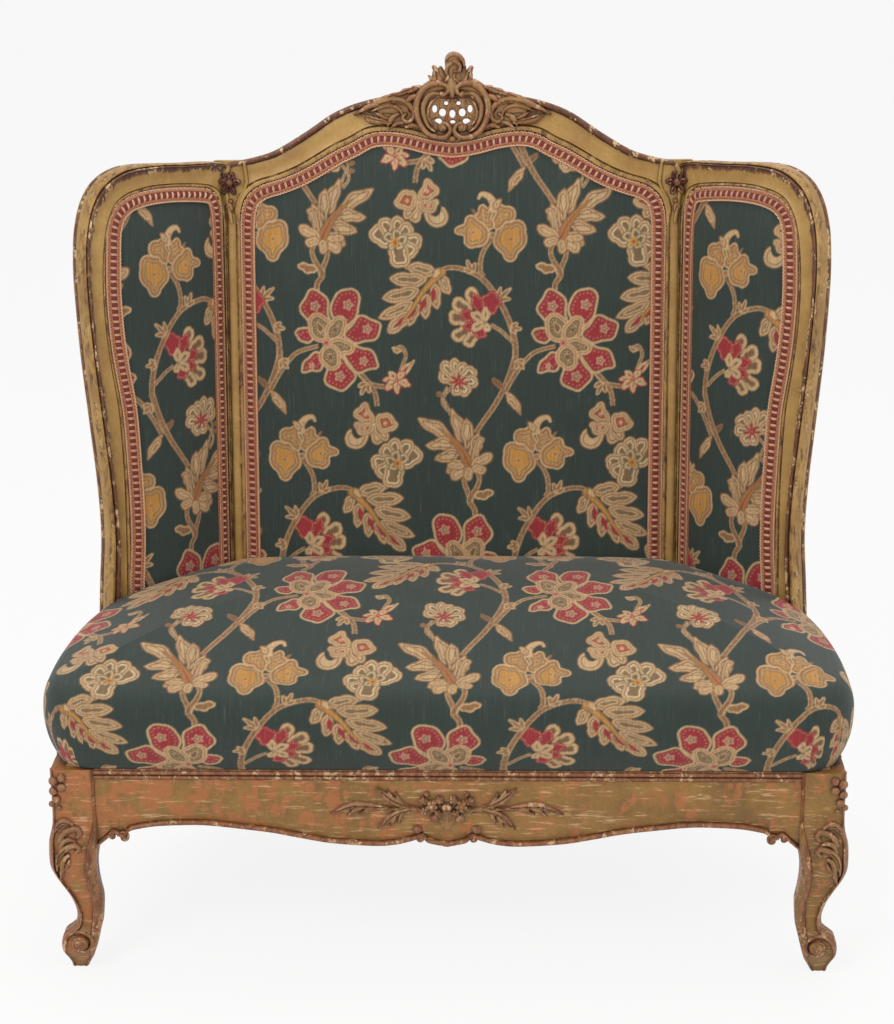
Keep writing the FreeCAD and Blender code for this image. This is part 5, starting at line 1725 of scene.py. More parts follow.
@dataclass
class BackFrame:
    """Serpentine crest and the posts of the back with their mouldings."""

    crest_top: tuple = ((0, 1182), (81, 1180), (134, 1171), (180, 1154), (226, 1124), (272, 1097),
                        (305, 1086), (328, 1081), (345, 1078))
    post_inner: float = 328.0
    post_outer: float = 356.0
    foot: float = 320.0

    def crest(self) -> Draft:
        """Right half of the crest and its mirror image.

        Returns:
            Mesh of the crest.
        """
        top = smooth_curve(np.array(self.crest_top), steps=8)
        down = smooth_curve([(345, 1078), (352, 1062), (353, 1040), (350, 1016), (345, 985)], steps=6)
        top = np.vstack([resample(top, count=90), resample(down, count=26)[1:]])
        low = np.vstack([resample(CREST_LOW[CREST_LOW[:, 0] < 306.1], count=90),
                         resample(CREST_LOW[CREST_LOW[:, 0] > 305.9], count=26)[1:]])
        outer = np.vstack([mirrored(top)[1:][::-1], top])
        inner = np.vstack([mirrored(low)[1:][::-1], low])
        draft = Draft()
        turned = (np.abs(outer[:, 0]) > 342) & (outer[:, 1] < 1077)
        band(draft, outer, inner, frame_profile(8.5, 9.0), BACK, wear=np.where(turned, 0.3, 1.0))
        return draft

    def build(self, finishes: "Finishes") -> None:
        """Make the crest and both posts.

        Args:
            finishes: Every finish of the settee.
        """
        crest = self.crest().build("crest_moulding", [finishes.gilt])
        pierce(crest, self.opening())
        settle(crest, "gilt_wood", "crest_rail")
        settle_pair(self.post(), "back_post_moulding", finishes.gilt, "gilt_wood", "back_post")

    def opening(self) -> Draft:
        """Oval hole behind the pierced cartouche.

        Returns:
            Mesh of the hole.
        """
        a = np.linspace(0, 2 * math.pi, 40, endpoint=False)
        rows = [np.stack([35 * np.cos(a), 1153 + 21.5 * np.sin(a), np.full(40, h)], 1) for h in (-50, 30)]
        draft = Draft()
        draft.grid(BACK.place(np.array(rows)), 0.6, around=True, caps=True)
        return draft

    def post(self) -> Draft:
        """Right post: moulded face, flared head, and the raked rear leg below.

        Returns:
            Mesh of the post.
        """
        draft = Draft()
        w = np.concatenate([np.linspace(self.foot, 950, 60), np.linspace(955, 1081, 44)])
        left_edge = np.interp(w, [985, 1006, 1024, 1036, 1048, 1081], [328, 331, 326, 318, 314, 318])
        right_edge = np.interp(w, [985, 1010, 1030, 1048, 1081], [356, 358, 364, 370, 368])
        outer = np.stack([left_edge, w], 1)
        inner = np.stack([right_edge, w], 1)
        profile = [(0, 0.0, -14.0, 0.15), (0, 0.0, -8.0, 0.9)] + bead(0.2, 5.5, 3.2, 0.2, 0.5) + [
            (0, 7.0, -0.8, 0.7), (0, 9.0, -0.3, 0.1), (0.5, 0.0, 1.2, 0.0), (1, -9.0, -0.3, 0.1),
            (1, -7.0, -0.8, 0.7)] + bead(-5.7, 5.5, 3.2, 0.2, 0.5, from_end=True) + [(1, 0.0, -8.0, 0.9),
                                                                              (1, 0.0, -14.0, 0.15)]
        band(draft, outer, inner, profile, BACK, wear=np.where(w > 1000, 0.35, 0.85))
        self.rear_leg(draft)
        return draft

    def rear_leg(self, draft: Draft) -> None:
        """Raked square rear leg under the seat rail.

        Args:
            draft: Mesh that takes the faces.
        """
        cos = math.cos(S.recline)
        plane_y = lambda z: S.back_foot_y + S.front_y + z * math.tan(S.recline)
        top_w = self.foot
        depth = S.frame_thick / cos
        knee = plane_y(230.0)
        rows = []
        levels = [top_w * cos + 4, 290, 260, 230, 190, 150, 110, 70, 35, 0]
        for z in levels:
            if z >= 230:
                front, back = plane_y(z), plane_y(z) + depth
            else:
                t = 1 - z / 230
                sweep = 92 * (0.5 * t + 0.5 * t * t)
                front, back = knee + sweep, knee + sweep + depth + 2 * t
            corner = 4.0
            a, b = self.post_inner, self.post_outer
            ring = [(a + corner, front), (b - corner, front), (b, front + corner), (b, back - corner),
                    (b - corner, back), (a + corner, back), (a, back - corner), (a, front + corner)]
            rows.append([(x, y, z) for x, y in ring])
        rim = np.full(8, 0.36)
        draft.grid(np.array(rows), rim, around=True, caps=True)


@dataclass
class WingFrame:
    """Wing: outer stile that curves in to the waist, and a top rail with a large rounded corner."""

    outer_line: tuple = ((236, 316), (229, 440), (224, 520), (228, 600), (239, 700), (250, 800), (257, 900),
                         (257, 950), (253, 990), (241, 1028), (220, 1056), (189, 1073), (150, 1079),
                         (76, 1079), (2, 1078), (-6, 1058), (-6, 1035), (-3, 1005), (0, 960), (0, 800),
                         (0, 560), (0, 316))
    inner_line: tuple = ((193, 316), (191, 440), (191, 520), (192, 600), (198, 700), (211, 775), (218, 825),
                         (222, 885), (221, 935), (216, 980), (204, 1012), (186, 1028), (162, 1036),
                         (136, 1041), (95, 1043), (45, 1041), (28, 1037), (17, 1027), (11, 1006), (9.8, 960),
                         (9.8, 800), (9.8, 560), (9.8, 316))

    def paired(self, line: tuple, corner: float) -> np.ndarray:
        """Points of a line, evenly spaced before, round and after the hinge corner.

        Args:
            line: Control points.
            corner: How far across the line turns at the hinge.
        Returns:
            As many points for either line of the wing.
        """
        curve = smooth_curve(np.array(line, float), steps=10)
        turn = int(np.argmax((curve[:, 0] < corner) & (curve[:, 1] > 1000)))
        low = int(np.argmax((curve[:, 0] < 12) & (curve[:, 1] < 1000)))
        return np.vstack([resample(curve[:turn + 1], count=130), resample(curve[turn:low + 1], count=24)[1:],
                          resample(curve[low:], count=30)[1:]])

    def draft(self) -> Draft:
        """Right wing.

        Returns:
            Its mesh.
        """
        outer = self.paired(self.outer_line, 2.5)
        inner = self.paired(self.inner_line, 45.5)
        out = Draft()
        profile = [(0, 0.0, -28.5, 0.7), (0, 0.0, -25.0, 0.6), (0, 1.6, -23.5, 0.9), (0, 0.2, -21.0, 0.3),
                   (0, -0.6, -14.0, 0.38), (0, -0.4, -7.0, 0.42), (0, 0.8, -2.2, 0.44), (0, 3.2, 0.9, 0.44),
                   (0, 6.2, 1.4, 0.42), (0, 8.6, 0.2, 0.5), (0, 9.6, -1.6, 1.0)]
        profile += bead(10.2, 6.4, 3.9, 0.2, 0.9)
        profile += [(0, 17.4, -1.6, 0.9), (0.5, 2.0, -2.6, 0.0), (0.8, -3.0, -1.6, 0.0),
                    (1, -9.0, -0.2, 0.1), (1, -7.8, -1.6, 1.0)]
        profile += bead(-7.0, 6.2, 2.6, -0.2, 0.45, from_end=True)
        spread = np.interp(outer[:, 0], [120, 215], [0.5, 1.0])
        spread = np.where(outer[:, 1] < 1000, np.where(outer[:, 0] > 120, 1.0, 0.5), spread)
        hinge = (outer[:, 0] < 20) & (outer[:, 1] < 1060)
        band(out, outer, inner, profile, WING, back=-31.0, spread=spread, tuck=12.0,
             wear=np.where(hinge, 0.55, 1.0))
        return out

    def build(self, finishes: "Finishes") -> None:
        """Make both wings."""
        settle_pair(self.draft(), "wing_moulding", finishes.gilt, "gilt_wood", "wing_stile", "wing_top_rail")


# Braid round the panels


class BraidTool:
    """Geometry Nodes group that sets one braid unit on every point of a line."""

    PARTS = ("Loops", "Cords", "Square", "Bar")
    # The unit is drawn 12.4 mm long and shortened to 10 mm; it is 22 mm wide
    SHORTENED = 0.806
    LENGTH, WIDTH = 10.0, 22.0

    def __init__(self, finishes: "Finishes") -> None:
        """Make the units and the node group.

        Args:
            finishes: Every finish of the settee.
        """
        self.finishes = (finishes.braid_cream, finishes.braid_gold, finishes.braid_red, finishes.braid_cream)
        self.units = [self.loops(), self.cords(), self.square(), self.bar()]
        self.ids: dict = {}
        self.group = self.make_group()

    def unit(self, name: str, draft: Draft) -> bpy.types.Object:
        """Make one small unit mesh that stays out of the scene.

        Args:
            name: Name of the piece.
            draft: Mesh of the unit.
        Returns:
            The unit.
        """
        draft.points = [[x * self.SHORTENED, y, z] for x, y, z in draft.points]
        obj = draft.build(name, [])
        bpy.context.scene.collection.objects.unlink(obj)
        return obj

    def yarn(self, draft: Draft, path: list | np.ndarray, radius: float, sides: int = 3,
             taper: float = 1.0) -> None:
        """Run a yarn along a path.

        Args:
            draft: Mesh that takes the faces.
            path: Its middle line.
            radius: Its radius.
            sides: Sides of its section, few because it is repeated hundreds of times.
            taper: Radius of both ends as a share of the radius.
        """
        radii = np.full(len(path), radius)
        radii[[0, -1]] *= taper
        tube(draft, path, radii, sides, up=(0, 0, 1), phase=0.25)

    def loops(self) -> bpy.types.Object:
        """Two scallops on each edge.

        Returns:
            The unit's loops.
        """
        draft = Draft()
        for side in (-1, 1):
            for middle in (-3.1, 3.1):
                a = np.linspace(-0.5, math.pi + 0.5, 5)
                path = np.stack([middle + 2.6 * np.cos(a), side * (8.6 + 2.5 * np.sin(a)),
                                 1.3 + 0.4 * np.sin(a)], 1)
                self.yarn(draft, path, 0.95, 3)
        return self.unit("braid_loops", draft)

    def cords(self) -> bpy.types.Object:
        """Slanting turns of the cord inside each edge.

        Returns:
            The unit's cords.
        """
        draft = Draft()
        for side in (-1, 1):
            for x in (-4.65, -1.55, 1.55, 4.65):
                path = [(x - 1.9, side * 4.7, 1.5), (x, side * 6.2, 2.7), (x + 1.9, side * 7.9, 1.3)]
                self.yarn(draft, path, 1.45, 3, 0.6)
        return self.unit("braid_cords", draft)

    def square(self) -> bpy.types.Object:
        """Dark red block between two bars.

        Returns:
            The unit's red block.
        """
        draft = Draft()
        rows = []
        for x, hold in ((-3.0, 0.6), (-1.8, 1.0), (1.8, 1.0), (3.0, 0.6)):
            rows.append([(x, -4.6, 1.0), (x, -3.4 * hold, 1.2 + 1.0 * hold),
                         (x, 3.4 * hold, 1.2 + 1.0 * hold), (x, 4.6, 1.0)])
        draft.grid(np.array(rows), flip=True)
        return self.unit("braid_square", draft)

    def bar(self) -> bpy.types.Object:
        """Bright slanting bar across the middle.

        Returns:
            The unit's bar.
        """
        draft = Draft()
        for dx in (-1.0, 1.0):
            path = [(6.2 + dx - 0.9, -5.0, 1.2), (6.2 + dx, -1.6, 2.9), (6.2 + dx, 1.6, 2.9),
                    (6.2 + dx + 0.9, 5.0, 1.2)]
            self.yarn(draft, path, 1.05, 4, 0.7)
        return self.unit("braid_bar", draft)

    def make_group(self) -> bpy.types.NodeTree:
        """Build the node group, with a named object and finish for each part of the unit and its scale.

        Returns:
            The node group.
        """
        tree = bpy.data.node_groups.new("braid_on_line", "GeometryNodeTree")
        sockets = [("Geometry", "OUTPUT", "NodeSocketGeometry"), ("Geometry", "INPUT", "NodeSocketGeometry"),
                   ("Unit Scale", "INPUT", "NodeSocketVector")]
        for part in self.PARTS:
            sockets += [(part, "INPUT", "NodeSocketObject"),
                        (part + " Finish", "INPUT", "NodeSocketMaterial")]
        for name, way, kind in sockets:
            self.ids[name] = tree.interface.new_socket(name, in_out=way, socket_type=kind).identifier
        n = partial(node, tree)
        given = lambda name: n("NodeGroupInput", output=name)
        turn = n("GeometryNodeInputNamedAttribute", {"Name": "turn"}, "Attribute", data_type="FLOAT_VECTOR")
        parts = []
        for part in self.PARTS:
            unit_mesh = n("GeometryNodeObjectInfo", {"Object": given(part), "As Instance": True}, "Geometry")
            set_out = n("GeometryNodeInstanceOnPoints", {"Points": given("Geometry"), "Instance": unit_mesh,
                                                         "Rotation": turn, "Scale": given("Unit Scale")})
            real = n("GeometryNodeRealizeInstances", {"Geometry": set_out})
            parts.append(n("GeometryNodeSetMaterial",
                           {"Geometry": real, "Material": given(part + " Finish")}))
        n("NodeGroupOutput", {"Geometry": n("GeometryNodeJoinGeometry", {"Geometry": parts})})
        return tree

    def lay(self, name: str, spots: np.ndarray, turns: np.ndarray, scale: tuple) -> bpy.types.Mesh:
        """Set a unit on every spot and return the plain mesh.

        Args:
            name: Name of the piece.
            spots: Middle of each unit, in millimetres.
            turns: Euler turn of each unit.
            scale: Scale of the unit along, across and out.
        Returns:
            The mesh with every unit.
        """
        mesh = bpy.data.meshes.new(name)
        mesh.from_pydata((spots * MM).tolist(), [], [])
        turn = mesh.attributes.new("turn", "FLOAT_VECTOR", "POINT")
        turn.data.foreach_set("vector", turns.astype("f").ravel())
        obj = bpy.data.objects.new(name, mesh)
        bpy.context.scene.collection.objects.link(obj)
        modifier = obj.modifiers.new("braid", "NODES")
        modifier.node_group = self.group
        modifier[self.ids["Unit Scale"]] = scale
        for part, drawn_unit, finish in zip(self.PARTS, self.units, self.finishes):
            modifier[self.ids[part]] = drawn_unit
            modifier[self.ids[part + " Finish"]] = finish
        bpy.context.view_layer.update()
        graph = bpy.context.evaluated_depsgraph_get()
        plain = bpy.data.meshes.new_from_object(obj.evaluated_get(graph))
        obj.modifiers.remove(modifier)
        bpy.data.objects.remove(obj)
        return plain


@dataclass
class Braid:
    """Braid laid along the edge of one panel."""

    tool: BraidTool
    finishes: "Finishes"
    width: float = 22.0
    pitch: float = 10.0
    lift: float = 0.4

    def build(self, name: str, cad_node: str, edge: np.ndarray, place: Callable) -> bpy.types.Object:
        """Lay the braid.

        Args:
            name: Name of the piece.
            cad_node: CAD node that it stands for.
            edge: Line of the panel's edge, with the panel on its left.
            place: Turns points of the panel's plane into frame points.
        Returns:
            The piece.
        """
        edge = resample(edge, pitch=3.1)
        for _ in range(4):
            edge[1:-1] = (edge[:-2] + 2 * edge[1:-1] + edge[2:]) / 4
        across = left_of(edge)
        rows = np.stack([place(edge + t * across) for t in np.linspace(0.4, self.width, 7)], 1)
        middle = rows[:, 3]
        side = unit(rows[:, 6] - rows[:, 0])
        along = unit(np.gradient(middle, axis=0))
        normal = unit(np.cross(along, side))
        tape = Draft()
        out = normal[:, None]
        top = rows + out * (self.lift + 1.2)
        section = [top[:, 0:1] - out * 0.9, top[:, 1:6], top[:, 6:7] - out * 0.9, rows[:, ::-1] - out * 0.8]
        tape.grid(np.concatenate(section, 1), around=True, caps=True, flip=True)
        obj = tape.build(name, [self.finishes.braid_gold])

        run = run_of(middle)
        count = int(round(run[-1] / self.pitch))
        at = (np.arange(count) + 0.5) * run[-1] / count
        pick = lambda v: np.stack([np.interp(at, run, v[:, k]) for k in range(3)], 1)
        spots = pick(middle + normal * (self.lift + 0.9))
        turns = []
        for t, s in zip(pick(along), pick(side)):
            x = Vector(t).normalized()
            z = x.cross(Vector(s)).normalized()
            y = z.cross(x)
            turns.append(Matrix((x, y, z)).transposed().to_euler())
        scale = (self.pitch / BraidTool.LENGTH, self.width / BraidTool.WIDTH, 1.0)
        plain = self.tool.lay(name + "_units", spots, np.array([tuple(e) for e in turns]), scale)
        work = bmesh.new()
        work.from_mesh(obj.data)
        finish_at = []
        for finish in plain.materials:
            if finish is None:
                finish_at.append(0)
                continue
            if finish.name not in obj.data.materials:
                obj.data.materials.append(finish)
            finish_at.append(list(obj.data.materials).index(finish))
        start = len(work.faces)
        marks = np.zeros(len(plain.polygons), np.int32)
        plain.polygons.foreach_get("material_index", marks)
        work.from_mesh(plain)
        work.faces.ensure_lookup_table()
        for k, mark in enumerate(marks):
            work.faces[start + k].material_index = finish_at[mark]
            work.faces[start + k].smooth = True
        work.to_mesh(obj.data)
        work.free()
        bpy.data.meshes.remove(plain)
        return settle(obj, "gimp_braid", cad_node)


def braid_all(finishes: "Finishes") -> None:
    """Lay the braid round the back and the wings.

    Args:
        finishes: Every finish of the settee.
    """
    tool = BraidTool(finishes)
    braid = Braid(tool, finishes)
    back = BackPanel()
    right = np.vstack([[(back.half, 440.0)], CREST_LOW[::-1]])
    braid.build("back_braid", "back_gimp", np.vstack([right, mirrored(right)[::-1][1:]]), back.place)
    for left, name in ((False, "right"), (True, "left")):
        panel = WingPanel(left)
        line = np.vstack([WING_INNER, [(panel.start, 990), (panel.start, 430)]])
        if left:
            line = mirrored(line)[::-1]
        braid.build(f"wing_braid_{name}", f"wing_gimp_{name}", line, panel.place)


# Seat rails and front legs


@dataclass
class FrontRail:
    """Front seat rail with two beads at the top and a shaped lower edge."""

    half: float = 496.0
    low_line: tuple = ((0, 197), (26, 203), (35, 211), (50, 206), (73, 200), (104, 198), (163, 202),
                       (208, 210), (248, 218), (294, 224), (341, 229), (377, 229), (412, 227), (436, 223),
                       (450, 219), (460, 209), (472, 215), (482, 207), (497, 194))

    def build(self, finishes: "Finishes") -> None:
        """Make the rail: columns of a cross-section that follows the lower edge.

        Args:
            finishes: Every finish of the settee.
        """
        half = resample(smooth_curve(np.array(self.low_line, float), steps=6), count=110)
        line = np.vstack([mirrored(half)[1:][::-1], half])
        y0 = S.front_y
        rows, rims = [], []
        for x, low in line:
            curl = math.exp(-((abs(x) - 462) / 12) ** 2) + math.exp(-((abs(x) - 33) / 10) ** 2)
            section = [(38, 316, 0.2), (0.5, 316, 0.5), *self.bead(314.5, 6.5, 3.4, 0.85), (0.9, 307.3, 1.0),
                       *self.bead(306.5, 5.0, 2.4, 0.7), (1.0, 300.6, 1.0), (0.6, 299.0, 0.1)]
            for share in (0.25, 0.5, 0.75):
                section.append((0.9 - 2.2 * math.sin(math.pi * share), 299 + (low + 10 - 299) * share, 0.0))
            section += [(0.8, low + 9.5, 0.2), (1.8, low + 8.2, 1.0),
                        *self.bead(low + 7.6, 7.2, 3.6 + 2.5 * curl, 0.9, 6), (6, low - 0.5, 0.7),
                        (30, low + 1.0, 0.4), (38, low + 6.0, 0.4)]
            rows.append([(x, y0 + y, z) for y, z, r in section])
            rims.append([r for y, z, r in section])
        draft = Draft()
        draft.grid(np.array(rows), np.array(rims), around=True, caps=True)
        for side in (-1, 1):
            for x, z, r, turn in ((458, 211, 9.5, 1), (474, 213, 7.0, -1), (37, 211, 7.5, -1)):
                self.curl(draft, side * x, z, r, side * turn)
        settle(draft.build("front_rail_moulded", [finishes.rail_gilt]), "seat_rail_gilt", "front_rail")

    def bead(self, top: float, width: float, out: float, rim: float, steps: int = 5) -> list:
        """Stations of a half-round bead.

        Args:
            top: Level of its upper edge.
            width: Its width.
            out: How far it stands out.
            rim: Rim value.
            steps: Number of stations.
        Returns:
            Stations as y, z and rim value.
        """
        angles = [math.pi * k / (steps - 1) for k in range(steps)]
        return [(-out * math.sin(a), top - width * (1 - math.cos(a)) / 2, rim) for a in angles]

    def curl(self, draft: Draft, x: float, z: float, radius: float, turn: int) -> None:
        """Small carved volute on the lower edge.

        Args:
            draft: Mesh that takes the faces.
            x: Place across.
            z: Height.
            radius: Radius.
            turn: 1 or -1 for the way it turns.
        """
        a = np.linspace(0, 3.6 * math.pi, 40)
        r = radius * np.exp(-a * 0.17)
        path = np.stack([x + turn * r * np.cos(a), np.full(40, S.front_y - 1.0) - a * 0.25,
                         z + r * np.sin(a)], 1)
        tube(draft, path, np.interp(a, [0, 2, a[-1]], [0.6, 2.6, 1.5]), 6, 0.9)
        ball(draft, (x, S.front_y - 3.2, z), (2.6, 2.2, 2.6), 1.0, 8, 5)


def tube(draft: Draft, path: np.ndarray, radius: float | np.ndarray, sides: int = 8,
         rim: float | np.ndarray = 0.0, flat: float = 1.0, up: tuple = (0, -1, 0),
         phase: float = 0.5) -> None:
    """Sweep an oval section along a path.

    Args:
        draft: Mesh that takes the faces.
        path: Points of the centre line in millimetres.
        radius: Radius along the path.
        sides: Number of sides.
        rim: Rim value.
        flat: Depth of the section as a share of its width.
        up: Direction that the shallow side of the section faces.
        phase: Turn of the section, as a share of one side.
    """
    path = np.asarray(path, float)
    d = unit(np.gradient(path, axis=0))
    a = unit(np.cross(d, np.array(up, float)))
    b = np.cross(a, d)
    r = np.broadcast_to(np.asarray(radius, float), (len(path),))
    turn = 2 * math.pi * (np.arange(sides) + phase) / sides
    rows = (path[:, None] + r[:, None, None] * (np.cos(turn)[None, :, None] * a[:, None]
            + flat * np.sin(turn)[None, :, None] * b[:, None]))
    draft.grid(rows, rim, around=True, caps=True)


def ball(draft: Draft, centre: tuple, size: tuple, rim: float = 0.0, around: int = 10, up: int = 6) -> None:
    """Add a small closed ellipsoid.

    Args:
        draft: Mesh that takes the faces.
        centre: Its middle.
        size: Its half sizes.
        rim: Rim value.
        around: Faces around.
        up: Faces from end to end.
    """
    rows = []
    for i in range(up + 1):
        v = math.pi * (0.04 + 0.92 * i / up)
        rows.append([(centre[0] + size[0] * math.sin(v) * math.cos(2 * math.pi * j / around),
                      centre[1] + size[1] * math.cos(v),
                      centre[2] + size[2] * math.sin(v) * math.sin(2 * math.pi * j / around))
                     for j in range(around)])
    draft.grid(np.array(rows), rim, around=True, caps=True)


@dataclass
class FrontLeg:
    """Cabriole leg: square block above a bowed knee, a waist and a scroll toe on a small pad."""

    # Level, outer edge and inner edge as seen from the front, how far the front bows out, and depth
    stations: tuple = ((0, 545, 522, -3, 24), (8, 547, 518, -2, 26), (20, 551.5, 512, 4, 30),
                       (32, 556, 508, 12, 34), (45, 556.5, 504.5, 15, 34), (56, 553, 502, 12, 32),
                       (63, 543, 500, 7, 30), (70, 536.5, 498.5, 4, 29), (87, 535, 497, 2, 29),
                       (108, 541, 496, 3, 31), (127, 549, 498.5, 8, 34), (148, 559, 500.5, 14, 38),
                       (166, 565, 501, 18, 44), (182, 566, 499, 19, 50), (206, 565, 496, 15, 58),
                       (226, 560, 495.6, 9, 63), (240, 558.3, 495.6, 6, 63), (262, 558, 495.6, 4.5, 63),
                       (300, 558, 495.6, 4.5, 63), (316, 558, 495.6, 4.5, 63))

    def ring(self, z: float) -> np.ndarray:
        """Section at one level: square with raised rims beside a sunk face panel.

        Args:
            z: Level above the floor.
        Returns:
            Points as x, y, z and rim value.
        """
        data = np.array(self.stations, float)
        dense = smooth_curve(data, steps=6)
        out, inn, bow, depth = (np.interp(z, dense[:, 0], dense[:, k]) for k in (1, 2, 3, 4))
        front = S.front_y - bow + 0.5
        back = front + depth
        turn = float(np.clip((238 - z) / 40, 0, 1) * np.clip((z - 22) / 30, 0, 1))
        edge_in, edge_out = 3.5 + 8.5 * turn, 3.5 + 5.0 * turn
        sunk = 0.8 + 2.0 * turn
        belly = 3.0 * math.exp(-((z - 180) / 50) ** 2)
        fall = 1.5 + 9.0 * turn
        xs = [inn + 0.8, inn + edge_in * 0.45, inn + edge_in - 1.8, inn + edge_in, inn + edge_in + 1.8,
              (inn + out) / 2, out - edge_out - 1.8, out - edge_out, out - edge_out + 1.8,
              out - edge_out * 0.45, out - 0.8]
        ys = [front + fall, front + fall * 0.45, front + 0.4, front - 1.4, front + sunk,
              front + sunk - 1 - belly, front + sunk, front - 1.4, front + 0.4, front + fall * 0.45,
              front + fall]
        rs = [0.5, 0.45, 0.95, 1.0, 0.35, 0.0, 0.35, 1.0, 0.95, 0.5, 0.55]
        pts = list(zip(xs, ys, rs))
        pts += [(out, front + fall + 3, 0.8), (out, front + fall + 6, 0.4),
                (out - 1.4, front + fall + 8, 0.1), (out - 1.0, (front + fall + 8 + back - 9) / 2, 0.0),
                (out - 1.4, back - 9, 0.1), (out, back - 6, 0.8), (out, back - 2, 0.9), (out - 3, back, 0.7),
                (inn + 3, back, 0.6), (inn, back - 3, 0.6), (inn, front + fall + 3, 0.6)]
        return np.array([(x, y, z, r) for x, y, r in pts])

    def right(self) -> Draft:
        """Right leg with its scrolls.

        Returns:
            Its mesh.
        """
        draft = Draft()
        levels = np.concatenate([np.linspace(0, 70, 26), np.linspace(75, 316, 60)])
        rows = np.array([self.ring(z) for z in levels])
        draft.grid(rows[:, :, :3], rows[:, :, 3], around=True, caps=True)
        self.toe(draft)
        return draft

    def toe(self, draft: Draft) -> None:
        """Rolled scroll of the toe and the spiral on its front.

        Args:
            draft: Mesh that takes the faces.
        """
        x0, z0, r0 = 525.5, 49.0, 10.5
        y = S.front_y - 15
        rows = []
        a = np.linspace(0, 2 * math.pi, 28, endpoint=False)
        for depth, size in ((-9, 0.55), (-8, 0.8), (-5, 0.95), (0, 1.0), (20, 1.0), (30, 0.9), (34, 0.6)):
            rows.append(np.stack([x0 + r0 * size * np.cos(a), np.full(28, y + depth),
                                  z0 + r0 * size * np.sin(a)], 1))
        draft.grid(np.array(rows), 0.35, around=True, caps=True)
        a = np.linspace(-0.6, 3.9 * math.pi, 60)
        r = 20.0 * np.exp(-(a + 0.6) * 0.10)
        sink = y - 1.0 - a * 0.55 + 5 * np.clip((1 - a) / 1.6, 0, 1)
        path = np.stack([x0 + r * np.cos(a + 0.9), sink, z0 + r * 0.95 * np.sin(a + 0.9)], 1)
        tube(draft, path, np.interp(a, [-0.6, 1, a[-1]], [1.2, 2.6, 1.6]), 7, 0.9)
        ball(draft, (x0, y - 8.5, z0), (6.5, 4.0, 6.5), 0.75)

    def build(self, finishes: "Finishes") -> None:
        """Make both front legs."""
        settle_pair(self.right(), "cabriole_leg", finishes.rail_gilt, "seat_rail_gilt", "front_leg")


# Carving


@dataclass
class Stroke:
    """One rounded gouge-cut form: a line with a half width that changes along it."""

    line: tuple
    half: tuple
    height: float = 6.0
    base: float = 1.5
    cut: bool = False

    def curve(self) -> np.ndarray:
        """Smooth centre line."""
        p = np.array(self.line, float)
        return smooth_curve(p, steps=6) if len(p) > 2 else p

    def mirrored(self) -> "Stroke":
        """The same stroke on the other side."""
        return Stroke(tuple((-u, w) for u, w in self.line), self.half, self.height, self.base, self.cut)


def blob(u: float, w: float, half: float, height: float = 8.0, base: float = 1.5) -> Stroke:
    """Round berry or volute eye."""
    return Stroke(((u, w), (u + 0.01, w)), (half, half), height, base)


